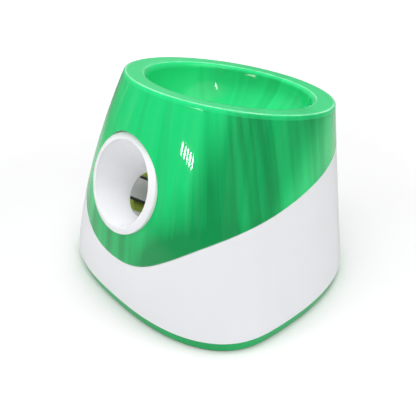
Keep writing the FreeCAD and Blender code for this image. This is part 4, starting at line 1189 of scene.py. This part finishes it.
# ------------------------------------------------------------------ studio and camera
@dataclass
class Studio:
    """Pale floor, bright surroundings and softboxes. Sizes in metres."""

    floor_half: float = 6.0
    floor_steps: int = 8
    softboxes: tuple = (      # name, place, width, height, watts; gloss doesn't show these
        ("key", (-1.2, -2.1, 1.4), 1.4, 1.8, 15.0), ("top", (0.1, 0.0, 2.2), 2.2, 1.6, 35.0),
        ("side", (2.1, 1.1, 1.0), 1.2, 1.2, 13.0), ("fill", (0.9, -1.8, 1.2), 0.8, 0.8, 1.5))
    tube: tuple = ("tube", (1.20, -0.32, 1.66), 0.05, 0.60, 2.6)
    panes: tuple[float, ...] = (10.0, 13.8, 17.0, 20.2, 23.2)     # a window's panes, degrees from the front
    pane_away: float = 2.0
    panels: tuple = (((-0.66, 0.30, 0.69), 0.40, 0.98, 0.16), ((0.6, 0.15, 0.79), 0.84, 0.98, 1.2))
    aim: tuple[float, float, float] = (0.0, 0.0, 0.13)            # the object's middle, where lamps point

    def build(self) -> None:
        """Builds floor, world and lamps."""
        self._floor()
        self._world()
        for box in self.softboxes:
            self._lamp(*box, seen=False)
        self._lamp(*self.tube)
        for k, turn in enumerate(np.radians(self.panes)):
            x, y = 0.07 + self.pane_away * math.sin(turn), -0.10 - self.pane_away * math.cos(turn)
            z = 0.20 + self.pane_away * math.tan(math.radians(17.2 - 0.55 * k))
            self._lamp(f"pane_{k}", (x, y, z), 0.032, 0.12, 0.7)

    def _floor(self) -> None:
        """A flat grid. It is plain near the object, so that the shadow shows, and is lifted towards white
        further off for camera and transmission rays. Gloss sees a glow there, paler near the object."""
        n = self.floor_steps + 1
        u = np.linspace(-self.floor_half, self.floor_half, n) / MM
        x, y = np.meshgrid(u, u)
        points = np.stack([x.ravel(), y.ravel(), np.zeros(n * n) - 0.05], axis=-1)
        i, j = np.meshgrid(np.arange(n - 1), np.arange(n - 1))
        a = (j * n + i).ravel()
        made = MeshKit.build("floor", points, np.stack([a, a + 1, a + n + 1, a + n], axis=-1))
        look = bpy.data.materials.new("pale_floor")
        look.use_nodes = True
        tree = look.node_tree
        tree.nodes.clear()
        path = add_node(tree, "LightPath").outputs
        seen = add_node(tree, "Math", {0: path["Is Camera Ray"], 1: path["Is Transmission Ray"]},
                        operation="MAXIMUM")
        place = add_node(tree, "TexCoord").outputs["Object"]
        away = add_node(tree, "VectorMath", {0: place}, operation="LENGTH").outputs["Value"]
        rise, near = (add_node(tree, "MapRange", {0: away, 1: start, 2: end, 3: first, 4: last},
                               interpolation_type="SMOOTHSTEP")
                      for start, end, first, last in ((0.30, 1.60, 0.04, 0.90), (0.45, 1.00, 0.60, 0.22)))
        lift = add_node(tree, "Math", {0: seen, 1: rise}, operation="MULTIPLY")
        matt = add_node(tree, "BsdfDiffuse", {"Color": (0.80, 0.80, 0.80, 1.0)})
        both = add_node(tree, "AddShader", {0: matt, 1: add_node(tree, "Emission", {"Strength": lift})})
        mirrored = add_node(tree, "Emission", {"Strength": near})
        pick = add_node(tree, "MixShader", {0: path["Is Glossy Ray"], 1: both, 2: mirrored})
        add_node(tree, "OutputMaterial", {"Surface": pick})
        made.data.materials.append(look)

    def _world(self) -> None:
        """White to camera and transmission rays. The light it gives has a brighter side and a dimmer one,
        and gloss sees a darker room of noise with two soft panels."""
        world = bpy.data.worlds.new("studio")
        bpy.context.scene.world = world
        world.use_nodes = True
        tree = world.node_tree
        tree.nodes.clear()
        way = add_node(tree, "TexCoord").outputs["Generated"]
        soft = []
        for aim, low, high, first, last in [((-0.35, -0.85, 0.40), -0.7, 0.8, 0.304, 0.48)] + [
                (aim, low, high, 0.0, strength) for aim, low, high, strength in self.panels]:
            toward = add_node(tree, "VectorMath", {0: way, 1: aim}, operation="DOT_PRODUCT").outputs["Value"]
            soft.append(add_node(tree, "MapRange", {0: toward, 1: low, 2: high, 3: first, 4: last},
                                 interpolation_type="SMOOTHSTEP"))
        level, left, right = soft
        panels = add_node(tree, "Math", {0: left, 1: right}, operation="ADD")
        flags = add_node(tree, "Mapping", {"Vector": way, "Scale": (3.0, 3.0, 0.5)})
        gaps = add_node(tree, "TexNoise", {"Vector": flags, "Scale": 2.0, "Detail": 1.0})
        dark = add_node(tree, "MapRange", {0: gaps, 1: 0.42, 2: 0.70, 3: 0.096, 4: 0.36})
        shown = add_node(tree, "Math", {0: panels, 1: dark}, operation="ADD")
        path = add_node(tree, "LightPath").outputs
        pick = add_node(tree, "Mix", {0: path["Is Glossy Ray"], 2: level, 3: shown}, data_type="FLOAT")
        plain = add_node(tree, "Math", {0: path["Is Camera Ray"], 1: path["Is Transmission Ray"]},
                         operation="MAXIMUM")
        final = add_node(tree, "Mix", {0: plain, 2: pick, 3: 1.0}, data_type="FLOAT")
        white = add_node(tree, "Background", {"Color": (1.0, 1.0, 1.0, 1.0), "Strength": final})
        add_node(tree, "OutputWorld", {"Surface": white})

    def _lamp(self, name: str, place: tuple[float, float, float], width: float, height: float, watts: float,
              seen: bool = True) -> None:
        """Adds a rectangular softbox that faces the object's middle.

        Args:
            name: the lamp's name.
            place: where it stands.
            width: its width.
            height: its height.
            watts: its power.
            seen: whether gloss shows it.
        """
        data = bpy.data.lights.new(name, "AREA")
        data.shape, data.size, data.size_y, data.energy = "RECTANGLE", width, height, watts
        lamp = bpy.data.objects.new(name, data)
        bpy.context.scene.collection.objects.link(lamp)
        aim = np.array(self.aim) - np.array(place)
        lamp.location = place
        lamp.visible_glossy = seen
        drop = math.atan2(-aim[2], math.hypot(aim[0], aim[1]))
        lamp.rotation_euler = (math.pi / 2 - drop, 0.0, math.atan2(aim[1], aim[0]) - math.pi / 2)


@dataclass
class Camera:
    """Viewpoint: azimuth and elevation in degrees, focal length in image widths, offsets in mm."""

    azimuth: float = 50.0
    elevation: float = 31.18
    focal: float = 653.65 / 416.0
    distance: float = 815.0
    aim: tuple[float, float, float] = (0.0, -57.0, 0.0)
    slide: float = 33.63
    lift: float = 79.74

    def build(self) -> None:
        """Builds the camera and makes it the scene's."""
        a, e = math.radians(self.azimuth), math.radians(self.elevation)
        back = np.array([math.sin(a) * math.cos(e), -math.cos(a) * math.cos(e), math.sin(e)])
        right = np.array([math.cos(a), math.sin(a), 0.0])
        up = np.cross(back, right)
        data = bpy.data.cameras.new("camera")
        data.sensor_width = 36.0
        data.lens = 36.0 * self.focal
        data.clip_start, data.clip_end = 0.05, 50.0
        made = bpy.data.objects.new("camera", data)
        bpy.context.scene.collection.objects.link(made)
        made.location = (np.array(self.aim) + right * self.slide + up * self.lift + back * self.distance) * MM
        made.rotation_euler = (math.pi / 2 - e, 0.0, a)
        bpy.context.scene.camera = made


def main() -> None:
    """Loads the frame and builds every piece in order."""
    logging.basicConfig(level=logging.INFO, format="%(message)s")
    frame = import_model()
    bpy.context.scene.view_settings.view_transform = "Standard"
    UpperShell().build()
    LowerCasing().build()
    HopperBowl().build()
    OutletFunnel().build()
    BarrelWindows().build()
    DriveSpring().build()
    Dressing().apply(frame["nodes"])
    Studio().build()
    Camera().build()
    bpy.context.view_layer.update()


if __name__ == "__main__":
    main()
